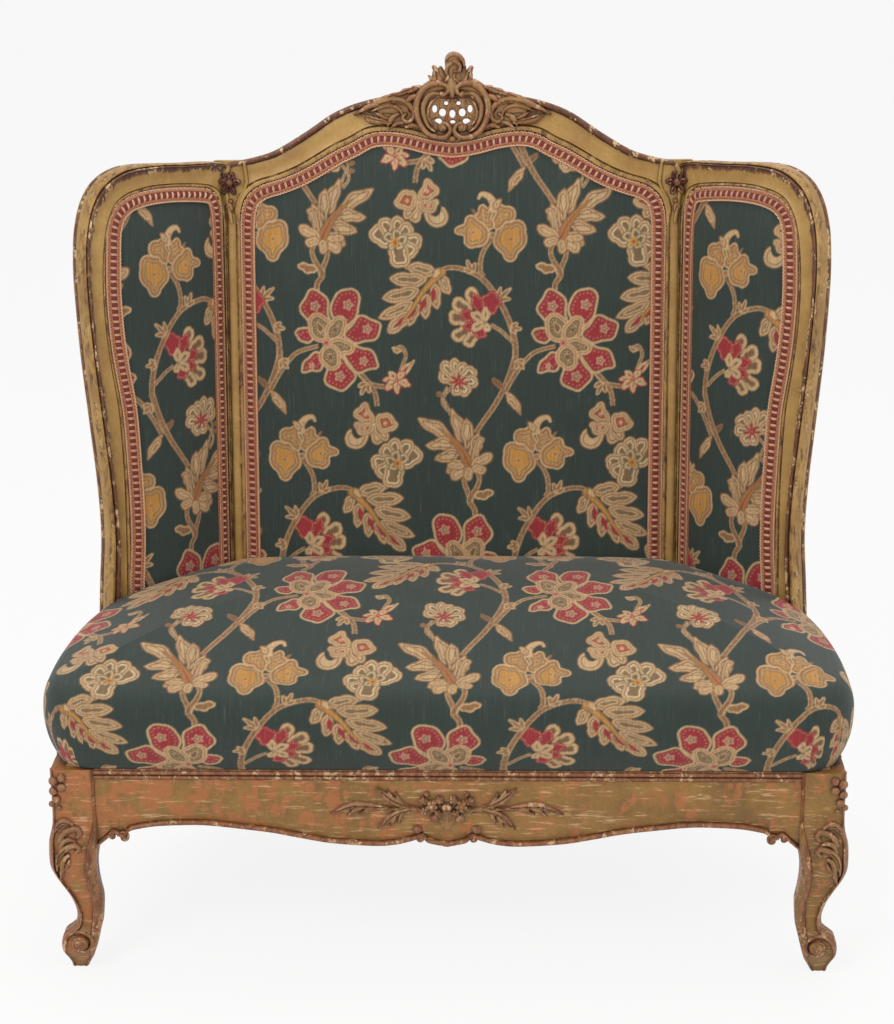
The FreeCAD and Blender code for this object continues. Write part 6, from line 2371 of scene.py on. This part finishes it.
class Carving:
    """Relief made of rounded strokes on a fine grid, closed at the back."""

    def __init__(self, strokes: list, holes: list | None = None, back: float = -3.0,
                 pitch: float = 1.25) -> None:
        """Keep what the relief is made from.

        Args:
            strokes: Its strokes, cuts last.
            holes: Oval holes as middle and half widths in mm.
            back: Stand of its back.
            pitch: Spacing of its grid.
        """
        self.strokes = strokes
        self.holes = holes or []
        self.back = back
        self.pitch = pitch

    def measure(self, p: np.ndarray) -> tuple[np.ndarray, np.ndarray]:
        """Signed cover in mm and height at points of the plane.

        Args:
            p: Points in the plane, in millimetres.
        Returns:
            How far each point lies inside the relief, and its height.
        """
        cover = np.full(len(p), -1e3)
        height = np.full(len(p), 0.0)
        for s in self.strokes:
            d, _, share = nearest(p, s.curve())
            half = np.interp(share, np.linspace(0, 1, len(s.half)), s.half)
            dome = np.sqrt(np.clip(1 - (d / half) ** 2, 0, 1))
            if s.cut:
                height = height - s.height * np.clip(1 - (d / half) ** 2, 0, 1)
                continue
            cover = np.maximum(cover, half - d)
            height = np.maximum(height, np.where(d < half, s.base + s.height * dome, 0))
        for u, w, ru, rw in self.holes:
            out = (np.hypot((p[:, 0] - u) / ru, (p[:, 1] - w) / rw) - 1) * min(ru, rw)
            cover = np.minimum(cover, out)
            height = height * np.clip(0.55 + 0.3 * out, 0, 1)
        return cover, height

    def draft(self, place: Callable) -> Draft:
        """Make the relief.

        Args:
            place: Turns u, w, h in millimetres into frame millimetres.
        Returns:
            The mesh.
        """
        lines = [s.curve() for s in self.strokes if not s.cut]
        reach = max(max(s.half) for s in self.strokes)
        low = np.min([line.min(0) for line in lines], 0) - reach - 2
        high = np.max([line.max(0) for line in lines], 0) + reach + 2
        us = np.arange(low[0], high[0], self.pitch)
        ws = np.arange(low[1], high[1], self.pitch)
        grid = np.stack(np.meshgrid(us, ws, indexing="ij"), -1)
        flat = grid.reshape(-1, 2)
        _, height = self.measure(flat)
        middle = (grid[:-1, :-1] + grid[1:, 1:]).reshape(-1, 2) / 2
        keep = self.measure(middle)[0].reshape(len(us) - 1, len(ws) - 1) > 0
        field_at = height.reshape(len(us), len(ws))
        soft = field_at.copy()
        for _ in range(5):
            soft[1:-1, 1:-1] = (soft[:-2, 1:-1] + soft[2:, 1:-1] + soft[1:-1, :-2] + soft[1:-1, 2:]) / 4
        rim = np.clip(0.22 + 0.42 * (field_at - soft), 0, 1).ravel()

        used = np.zeros((len(us), len(ws)), bool)
        count = np.zeros((len(us), len(ws)), int)
        for di in (0, 1):
            for dj in (0, 1):
                used[di:di + keep.shape[0], dj:dj + keep.shape[1]] |= keep
                count[di:di + keep.shape[0], dj:dj + keep.shape[1]] += keep
        edge = (used & (count < 4)).ravel()
        spots = flat.copy()
        e = 0.2
        at = np.where(edge)[0]
        for _ in range(2):
            f = self.measure(spots[at])[0]
            gu = (self.measure(spots[at] + (e, 0))[0] - self.measure(spots[at] - (e, 0))[0]) / (2 * e)
            gw = (self.measure(spots[at] + (0, e))[0] - self.measure(spots[at] - (0, e))[0]) / (2 * e)
            g = np.stack([gu, gw], 1) / np.maximum(np.hypot(gu, gw), 0.5)[:, None]
            spots[at] -= g * np.clip(f, -0.5 * self.pitch, 0.5 * self.pitch)[:, None]
        height[at] = np.minimum(height[at], self.measure(spots[at])[1] * 0.6 + 0.3)

        index = -np.ones(len(flat), int)
        index[used.ravel()] = np.arange(used.sum())
        index = index.reshape(used.shape)
        total = int(used.sum())
        chosen = used.ravel()
        top = np.column_stack([spots[chosen], height[chosen]])
        under = np.column_stack([spots[chosen], np.full(total, self.back)])
        faces = []
        for i, j in zip(*np.where(keep)):
            a, b, c, d = index[i, j], index[i + 1, j], index[i + 1, j + 1], index[i, j + 1]
            faces.append([a, b, c, d])
            faces.append([d + total, c + total, b + total, a + total])
            for (di, dj), (p, q) in (((0, -1), (a, b)), ((1, 0), (b, c)), ((0, 1), (c, d)),
                                     ((-1, 0), (d, a))):
                ni, nj = i + di, j + dj
                if not (0 <= ni < keep.shape[0] and 0 <= nj < keep.shape[1]) or not keep[ni, nj]:
                    faces.append([q, p, p + total, q + total])
        out = Draft()
        out.add(place(np.vstack([top, under])), faces, np.r_[rim[chosen], np.full(total, 0.3)])
        return out


def both(strokes: list) -> list:
    """Strokes and their mirror images."""
    return strokes + [s.mirrored() for s in strokes]


class CrestCarving:
    """Pierced cartouche with its finial and a leafy scroll on each side."""

    def cartouche(self) -> Carving:
        """Two facing C-scrolls round a pierced lattice.

        Returns:
            The relief.
        """
        right = [
            Stroke(((14, 1178), (7, 1184), (8, 1192), (18, 1197), (31, 1196), (43, 1189), (51, 1178),
                    (55, 1164), (54, 1150), (50, 1138), (43, 1126), (32, 1118), (18, 1115), (8, 1118),
                    (3, 1126), (7, 1134), (14, 1137), (20, 1132), (17, 1126)),
                   (3, 4.5, 5.5, 6, 6, 5.6, 5.2, 5, 4.8, 4.4, 3.6, 2.6), 7.5, 4),
            Stroke(((20, 1181), (32, 1181), (41, 1172), (45, 1159), (43, 1144), (36, 1131), (26, 1124)),
                   (3, 5, 5, 4.6, 3.8, 2), 5, 2.5),
            Stroke(((12, 1190), (28, 1189), (40, 1183), (49, 1168), (49, 1150), (41, 1132), (30, 1121)),
                   (0.8, 1.3, 1.4, 1.4, 1.2, 0.8), 3.0, 0, True),
            Stroke(((24, 1175), (33, 1167), (37.5, 1155), (36, 1143), (30, 1134)), (1.5, 2.4, 2.6, 2.4, 1.5),
                   4.5, 2.5),
            blob(14, 1130, 6.2, 8, 5), blob(15.5, 1181, 4.6, 7, 5), blob(6, 1171, 3.4, 4, 4),
            Stroke(((3, 1173), (12, 1160), (24, 1149), (33, 1143)), (1.6, 2, 1.6), 2.5, 2.5),
            Stroke(((20, 1170), (22, 1158), (24, 1148), (12, 1137)), (1.6, 2, 1.6), 2.5, 2.5),
            Stroke(((0.5, 1164), (7, 1152), (9, 1142), (4, 1133)), (1.6, 2, 1.6), 2.5, 2.5),
        ]
        web = [Stroke(((-25, 1157), (25, 1157)), (32, 32), 0.8, 1.8),
               Stroke(((0, 1200), (0, 1178)), (10, 7, 4), 7, 4),
               Stroke(((-12, 1191), (-30, 1190), (-46, 1178)), (4, 7, 5), 2.5, 2),
               Stroke(((12, 1191), (30, 1190), (46, 1178)), (4, 7, 5), 2.5, 2), blob(0, 1113, 6, 7, 3)]
        holes = []
        for u, w, ru, rw in ((9.5, 1167, 3.2, 2.8), (27, 1158.5, 3.8, 5.6), (15, 1153, 5.2, 5.8),
                             (21.5, 1140, 5.6, 4)):
            holes += [(u, w, ru, rw), (-u, w, ru, rw)]
        holes += [(0, 1151, 4.6, 6), (0.5, 1139, 4, 2.4)]
        return Carving(both(right) + web, holes, back=-3.0, pitch=1.0)

    def finial(self) -> Carving:
        """Leafy knop above the cartouche.

        Returns:
            The relief.
        """
        strokes = [
            Stroke(((2, 1196), (2, 1210), (2, 1231)), (13, 12, 13, 13.5), 6, 3),
            Stroke(((-9, 1211), (-7, 1222), (3, 1229), (12, 1223), (10, 1215), (3, 1214)),
                   (2.5, 3.6, 3.8, 3, 2), 5, 8),
            Stroke(((-9, 1232), (-2, 1239), (8, 1239), (16, 1231), (18, 1222)), (2, 3.6, 4, 3.6, 2), 5, 6),
            Stroke(((9, 1199), (3, 1204), (4, 1211)), (2.5, 3, 2), 5, 8),
            Stroke(((-10, 1200), (-6, 1206), (-9, 1213)), (2.5, 3, 1.5), 4, 8),
            Stroke(((16, 1200), (17, 1212), (18, 1222)), (9, 6, 3), 3, 2),
            Stroke(((-14, 1200), (-16, 1212), (-18, 1220)), (9, 6, 3), 3, 2),
            Stroke(((20, 1198), (25, 1207), (26, 1214), (29, 1220)), (8, 7, 5.2, 3.6), 6, 3),
            Stroke(((22, 1200), (36, 1198), (47, 1193)), (6, 4.5, 2.5), 5, 2),
            Stroke(((-20, 1200), (-25, 1209), (-25, 1216), (-28, 1221)), (8, 6.4, 5, 3.4), 6, 3),
            Stroke(((-20, 1200), (-29, 1202), (-36, 1208)), (6, 4.6, 1.6), 5, 3),
            Stroke(((-24, 1199), (-36, 1196), (-46, 1190)), (5, 4.5, 2.5), 4, 2),
            Stroke(((24, 1203), (26, 1213)), (1.2, 1.0), 2.5, 0, True),
            Stroke(((-23, 1203), (-25, 1214)), (1.2, 1.0), 2.5, 0, True),
        ]
        return Carving(strokes, back=-9.0, pitch=1.0)

    def spray(self) -> Carving:
        """C-scroll and leaves to the right of the cartouche.

        Returns:
            The relief.
        """
        strokes = [
            Stroke(((62, 1158), (84, 1164), (110, 1158)), (12, 14, 6), 1.0, 1.2),
            Stroke(((60, 1180), (84, 1175), (110, 1168)), (9, 9, 4), 2.0, 1.5),
            Stroke(((66, 1140), (88, 1142), (106, 1142)), (7, 9, 4), 1.0, 1.0),
            Stroke(((150, 1150), (128, 1162), (103, 1170), (86, 1172), (72, 1169), (62, 1161), (58, 1151),
                    (62, 1142), (70, 1139), (76, 1145), (71, 1151)),
                   (1.5, 3.6, 5, 5.6, 6, 6, 5.6, 5, 4.2, 3.4, 2.4), 6, 2),
            Stroke(((128, 1154), (108, 1161), (92, 1163), (80, 1157), (76, 1148)), (1.2, 3, 3.6, 3.4, 2),
                   4.5, 1.5),
            Stroke(((134, 1160), (116, 1169), (98, 1177), (86, 1180)), (1.2, 3.5, 4, 2), 4, 2),
            Stroke(((50, 1191), (57, 1189), (66, 1184)), (3.5, 5.5, 3.5), 6, 3),
            Stroke(((64, 1188), (72, 1185), (82, 1180)), (3, 5, 2.5), 5, 3),
            Stroke(((57, 1178), (63, 1175), (68, 1171)), (4, 5.6, 3.5), 7, 4),
            Stroke(((80, 1182), (90, 1179), (104, 1173)), (2.5, 4.5, 1.5), 5, 2.5),
            Stroke(((94, 1137), (106, 1139), (122, 1142), (140, 1151)), (2, 5.5, 6.5, 1), 5, 1.5),
            Stroke(((100, 1144), (112, 1150), (120, 1154)), (2, 3.6, 1), 4, 1.5),
            Stroke(((83, 1150), (92, 1145), (99, 1133)), (3, 5, 2), 5, 2),
            Stroke(((76, 1138), (86, 1136), (98, 1127)), (3, 3.6, 1), 4, 1.5),
            Stroke(((50, 1131), (60, 1134), (71, 1131)), (3.5, 4.6, 3), 4, 1.5),
            Stroke(((96, 1138), (120, 1143), (138, 1150)), (1.1, 1.2, 0.8), 2.2, 0, True),
            Stroke(((58, 1190), (78, 1183), (98, 1176)), (1.0, 1.1, 0.8), 2.0, 0, True),
            Stroke(((112, 1165), (90, 1170), (72, 1165), (64, 1153)), (0.8, 1.2, 1.2, 1.0), 2.4, 0, True),
        ]
        return Carving(strokes, back=-4.0, pitch=1.1)

    def build(self, finishes: "Finishes") -> None:
        """Make the crest carving.

        Args:
            finishes: Every finish of the settee.
        """
        for carving, name, cad_node in ((self.cartouche(), "crest_cartouche_pierced", "crest_cartouche"),
                                        (self.finial(), "crest_knop", "crest_finial")):
            settle(carving.draft(BACK.place).build(name, [finishes.carved]), "carved_gilt", cad_node)
        settle_pair(self.spray().draft(BACK.place), "crest_leaf_scroll", finishes.carved, "carved_gilt",
                    "crest_foliage")


@dataclass
class Rosettes:
    """Small dark red flower at the head of each post with a bud below it."""

    x: float = 343.5
    w: float = 1047.0

    def build(self, finishes: "Finishes") -> None:
        """Make both rosettes and buds.

        Args:
            finishes: Every finish of the settee.
        """
        petals = [(-3.4, 10.6, 5.2), (3.4, 10.2, 5.2), (-10.6, 1.2, 5.8), (10.2, 2.2, 5.8),
                  (-5.2, -12.4, 5.0), (7.0, -11.2, 5.4)]
        strokes = [Stroke(((u * 0.35, w * 0.35), (u * 0.8, w * 0.8), (u * 1.08, w * 1.08)), (2, h, h * 0.7),
                          6, 3)
                   for u, w, h in petals]
        strokes += [Stroke(((u * 0.5, w * 0.5), (u * 1.0, w * 1.0)), (0.8, 1.4), 3, 0, True)
                    for u, w, _ in petals]
        strokes += [blob(0, 0, 5.2, 6, 6)]
        bud = [blob(-1.5, 0, 4.2, 6, 2), Stroke(((0, -4), (-2, -10), (-3, -16)), (2.6, 3.4, 1.2), 4, 1.5),
               Stroke(((1, -4), (4, -8), (6, -12)), (2.2, 3.0, 1.0), 4, 1.5)]
        for side, sign in (("right", 1), ("left", -1)):
            at = lambda size, dw: lambda p: BACK.place(
                np.asarray(p) * (size, size, 1) + (sign * self.x, self.w + dw, 0.5))
            flower = Carving(strokes if sign > 0 else [s.mirrored() for s in strokes], pitch=0.8)
            settle(flower.draft(at(1.12, 0)).build(f"post_rosette_{side}", [finishes.rosette]),
                   "rosette_red", f"rosette_{side}")
            drop = Carving(bud if sign > 0 else [s.mirrored() for s in bud], pitch=0.8)
            settle(drop.draft(at(1.0, -28)).build(f"post_bud_{side}", [finishes.carved]), "rosette_red",
                   f"drop_bud_{side}")


class RailSpray:
    """Bunch of small flowers between leaves, on the middle of the front rail."""

    def build(self, finishes: "Finishes") -> None:
        """Make the spray.

        Args:
            finishes: Every finish of the settee.
        """
        leaves = [
            Stroke(((36, 258), (62, 258), (84, 259), (104, 262), (130, 263), (150, 257), (166, 249)),
                   (1.6, 2, 3, 5, 7, 4.6, 0.8), 6, 1),
            Stroke(((96, 259), (112, 256), (124, 250)), (2, 3.4, 1.2), 5, 1),
            Stroke(((118, 260), (132, 254), (141, 247)), (2, 4, 1), 5, 1),
            Stroke(((38, 259), (60, 263), (76, 271), (98, 290)), (1.6, 4.4, 7.4, 0.8), 6, 1.5),
            Stroke(((60, 263), (68, 274), (72, 284)), (2, 3.6, 1.2), 5, 1),
            Stroke(((72, 270), (80, 281), (84, 288)), (2, 3.4, 1), 5, 1),
            Stroke(((40, 257), (62, 255), (78, 246), (97, 226)), (1.6, 4, 6.6, 0.8), 6, 1.5),
            Stroke(((60, 254), (66, 243), (68, 234)), (2, 3.6, 1.2), 5, 1),
            Stroke(((70, 249), (76, 238), (80, 230)), (2, 3.4, 1), 5, 1),
            Stroke(((60, 258), (100, 261), (130, 262), (158, 253)), (0.6, 1.2, 1.4, 0.7), 2.6, 0, True),
            Stroke(((50, 261), (72, 269), (92, 285)), (0.6, 1.3, 0.7), 2.6, 0, True),
            Stroke(((50, 257), (74, 248), (92, 231)), (0.6, 1.3, 0.7), 2.6, 0, True),
        ]
        flowers = []
        for u, w, r in ((21, 263, 9.5), (33, 271, 6.5), (10, 272, 6.5), (33, 256, 6.0), (12, 252, 6.5)):
            for k in range(5):
                a, out = 2 * math.pi * k / 5 + u, r * 0.62
                flowers.append(blob(u + out * math.cos(a), w + out * math.sin(a), r * 0.44, 4.5, 4))
            flowers.append(blob(u, w, r * 0.42, 6, 6))
        flowers += [blob(42, 225, 6.4, 5, 2), blob(42, 225, 3.0, 3, 6), blob(18, 244, 6.5, 7, 3),
                    blob(3, 262, 5, 7, 4), blob(28, 281, 4.2, 6, 2)]
        fan = [Stroke(((u * 0.15, 224), (u, 247)), (0.8, 2.0), 1.8, 0.4) for u in (2, 7, 12, 17)]
        strokes = both(leaves + flowers + fan)
        strokes.sort(key=lambda s: s.cut)
        place = lambda p: np.column_stack([p[:, 0], S.front_y + 0.6 - p[:, 2], p[:, 1]])
        spray = Carving(strokes, back=-3.0, pitch=1.15).draft(place)
        settle(spray.build("rail_flower_spray", [finishes.carved]), "carved_gilt", "front_rail_carving")


class KneeCarving:
    """Berries at the corner of each front leg and acanthus scrolls on its knee."""

    def face(self, p: np.ndarray) -> np.ndarray:
        """Put points on the bowed front of the right leg.

        Args:
            p: Points in the plane, in millimetres.
        Returns:
            Points in frame millimetres.
        """
        bow = np.interp(p[:, 1], [120, 148, 166, 182, 206, 226, 240, 262], [6, 14, 18, 19, 15, 9, 6, 4.5])
        turn = np.clip((p[:, 0] - 546) / 12, 0, 1) ** 2 * 7
        return np.column_stack([p[:, 0], S.front_y - bow + 1.2 + turn - p[:, 2], p[:, 1]])

    def build(self, finishes: "Finishes") -> None:
        """Make the carving of both legs.

        Args:
            finishes: Every finish of the settee.
        """
        strokes = [
            Stroke(((523, 217), (519, 222), (524, 228), (534, 226), (543, 220), (549, 210)),
                   (3.4, 4.2, 4.8, 4.8, 4.8, 2.8), 5),
            Stroke(((528, 234), (540, 238), (550, 233), (555, 222)), (2.1, 5.6, 5.6, 2.1), 4.5),
            Stroke(((525, 211), (534, 213), (543, 209), (548, 200)), (2.1, 3.9, 4.2, 2.1), 4.5),
            Stroke(((524, 196), (520, 201), (526, 205), (536, 202), (546, 194), (552, 182), (553, 166)),
                   (3.1, 4.2, 4.8, 5.3, 5.0, 4.2, 2.1), 5.5),
            Stroke(((535, 191), (541, 186), (545, 177), (546, 165), (550, 150)), (3.1, 4.5, 4.2, 3.6, 1.4),
                   5),
            Stroke(((534, 184), (537, 176), (541, 168)), (2.1, 3.9, 1.7), 4),
            Stroke(((539, 200), (548, 190), (552, 176)), (0.7, 1.1, 0.7), 2.2, 0, True),
            Stroke(((532, 235), (544, 236), (552, 228)), (0.7, 1.1, 0.7), 2.2, 0, True),
        ]
        acanthus = Carving(strokes, back=-4.0, pitch=1.0).draft(self.face)
        berries = Draft()
        for x, z, r in ((553, 299, 7.2), (541.5, 304, 6.4), (554, 283, 6.6), (542.5, 290, 6.6),
                        (550, 271, 6.0), (558, 262, 4.6), (547, 258, 3.4)):
            ball(berries, (x, S.front_y - 4.8 + max(0, x - 550) * 0.5, z), (r, r * 0.85, r), 0.55, 14, 9)
        for side, sprig, fruit in (("right", acanthus, berries),
                                   ("left", acanthus.turn_over_left(), berries.turn_over_left())):
            settle(sprig.build(f"knee_leaf_scrolls_{side}", [finishes.carved]), "carved_gilt",
                   f"knee_acanthus_{side}")
            settle(fruit.build(f"knee_berries_{side}", [finishes.carved]), "carved_gilt",
                   f"knee_cluster_{side}")


# Floor, light and camera


@dataclass(frozen=True)
class Studio:
    """Plain pale floor, soft studio light and the camera at the photograph's angle."""

    camera_at: tuple = (0.0793, -3.1708, 1.6788)
    yaw: float = math.radians(-1.52)
    tilt: float = math.radians(18.87)
    roll: float = math.radians(-0.40)
    lens: float = 79.28
    floor_glow: float = 0.86
    ambient: float = 0.62

    def camera(self) -> None:
        """Place the camera."""
        data = bpy.data.cameras.new("camera")
        data.lens = self.lens
        data.sensor_width = 36
        cam = bpy.data.objects.new("camera", data)
        bpy.context.scene.collection.objects.link(cam)
        ahead = Vector((math.sin(self.yaw) * math.cos(self.tilt), math.cos(self.yaw) * math.cos(self.tilt),
                        -math.sin(self.tilt)))
        right = ahead.cross(Vector((0, 0, 1))).normalized()
        up = right.cross(ahead)
        turned = right * math.cos(self.roll) + up * math.sin(self.roll)
        up = up * math.cos(self.roll) - right * math.sin(self.roll)
        cam.matrix_world = Matrix.Translation(self.camera_at) @ Matrix(
            (turned, up, -ahead)).transposed().to_4x4()
        bpy.context.scene.camera = cam

    def floor(self) -> None:
        """Make the floor, white to the camera but shaded by the object."""
        mesh = bpy.data.meshes.new("floor")
        mesh.from_pydata([(-30, -30, 0), (30, -30, 0), (30, 30, 0), (-30, 30, 0)], [], [(0, 1, 2, 3)])
        material, n, _ = new_material("floor_pale")
        paint = n(SHADER, {"Base Color": linear("#E9E8E6"), "Roughness": 0.9})
        seen = n(MATH, [self.seen(n), self.floor_glow], operation="MULTIPLY")
        glow = n("ShaderNodeEmission", {"Strength": 1.0})
        n("Material Output", {"Surface": n("ShaderNodeMixShader", [seen, paint, glow])})
        mesh.materials.append(material)
        obj = bpy.data.objects.new("floor", mesh)
        bpy.context.scene.collection.objects.link(obj)
        obj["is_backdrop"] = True

    def world(self) -> None:
        """Even pale surroundings, white to the camera."""
        world = bpy.data.worlds.new("studio")
        bpy.context.scene.world = world
        world.use_nodes = True
        n = partial(node, world.node_tree)
        strength = n(RANGE, {"Value": self.seen(n), "To Min": self.ambient, "To Max": 1.0})
        n("Background", {"Color": (1, 1, 1, 1), "Strength": strength})

    def seen(self, n: Callable) -> bpy.types.NodeSocket:
        """Whether a ray comes from the camera, straight or by way of gloss or glass.

        Args:
            n: Function that adds nodes to the tree.
        Returns:
            An output that is 1 for such a ray.
        """
        direct, by_gloss, by_glass = (n("ShaderNodeLightPath", output=f"Is {kind} Ray")
                                      for kind in ("Camera", "Glossy", "Transmission"))
        return n(MATH, [n(MATH, [direct, by_gloss], operation="MAXIMUM"), by_glass], operation="MAXIMUM")

    def lamp(self, name: str, place: tuple, aim: tuple, size: float, power: float) -> None:
        """Add one soft lamp.

        Args:
            name: Name of the piece.
            place: Where it stands.
            aim: Where it points.
            size: Side of its square in metres.
            power: Its watts.
        """
        data = bpy.data.lights.new(name, "AREA")
        data.size = size
        data.energy = power
        lamp = bpy.data.objects.new(name, data)
        bpy.context.scene.collection.objects.link(lamp)
        lamp.location = place
        lamp.rotation_euler = (Vector(aim) - Vector(place)).to_track_quat("-Z", "Y").to_euler()

    def build(self) -> None:
        """Set everything up."""
        bpy.context.scene.view_settings.view_transform = "Standard"
        self.camera()
        self.floor()
        self.world()
        self.lamp("key", (-1.9, -2.6, 2.9), (0, 0, 0.55), 1.6, 62)
        self.lamp("fill", (2.8, -1.6, 1.9), (0, 0, 0.5), 2.2, 22)
        self.lamp("top", (0.2, 0.6, 3.1), (0, 0, 0.4), 1.8, 26)


class Settee:
    """The whole settee."""

    def __init__(self) -> None:
        """Make the finishes and draw the pattern."""
        self.finishes = Finishes()
        self.vine = Vine()

    def dress_frame(self) -> None:
        """Give the CAD nodes the finishes of their material slots."""
        for part in frame["nodes"].values():
            for slot in part.material_slots:
                key = SLOT_FINISH.get(slot.material.name.split(".")[0] if slot.material else "")
                if key:
                    slot.material = getattr(self.finishes, key)

    def build(self) -> None:
        """Build every piece."""
        self.dress_frame()
        BackPanel().build(self.vine, self.finishes.floral)
        WingPanel(False).build(self.vine, self.finishes.floral)
        WingPanel(True).build(self.vine, self.finishes.floral)
        SeatPanel().build(self.vine, self.finishes.floral)
        BackFrame().build(self.finishes)
        WingFrame().build(self.finishes)
        braid_all(self.finishes)
        FrontRail().build(self.finishes)
        FrontLeg().build(self.finishes)
        CrestCarving().build(self.finishes)
        Rosettes().build(self.finishes)
        RailSpray().build(self.finishes)
        KneeCarving().build(self.finishes)


def as_lists(value: object) -> object:
    """Turn bounds into plain lists.

    Args:
        value: Bounds as numbers, vectors or a dictionary.
    Returns:
        The same as lists and numbers.
    """
    if hasattr(value, "items"):
        return {k: as_lists(v) for k, v in value.items()}
    if hasattr(value, "__len__") and not isinstance(value, str):
        return [as_lists(v) for v in value]
    return value if isinstance(value, (int, str)) else float(value)


def main() -> None:
    """Build the settee and its studio."""
    Settee().build()
    Studio().build()
    {"cad": as_lists(SIZE_BEFORE), "dressed": as_lists(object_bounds())}


if __name__ == "__main__":
    main()
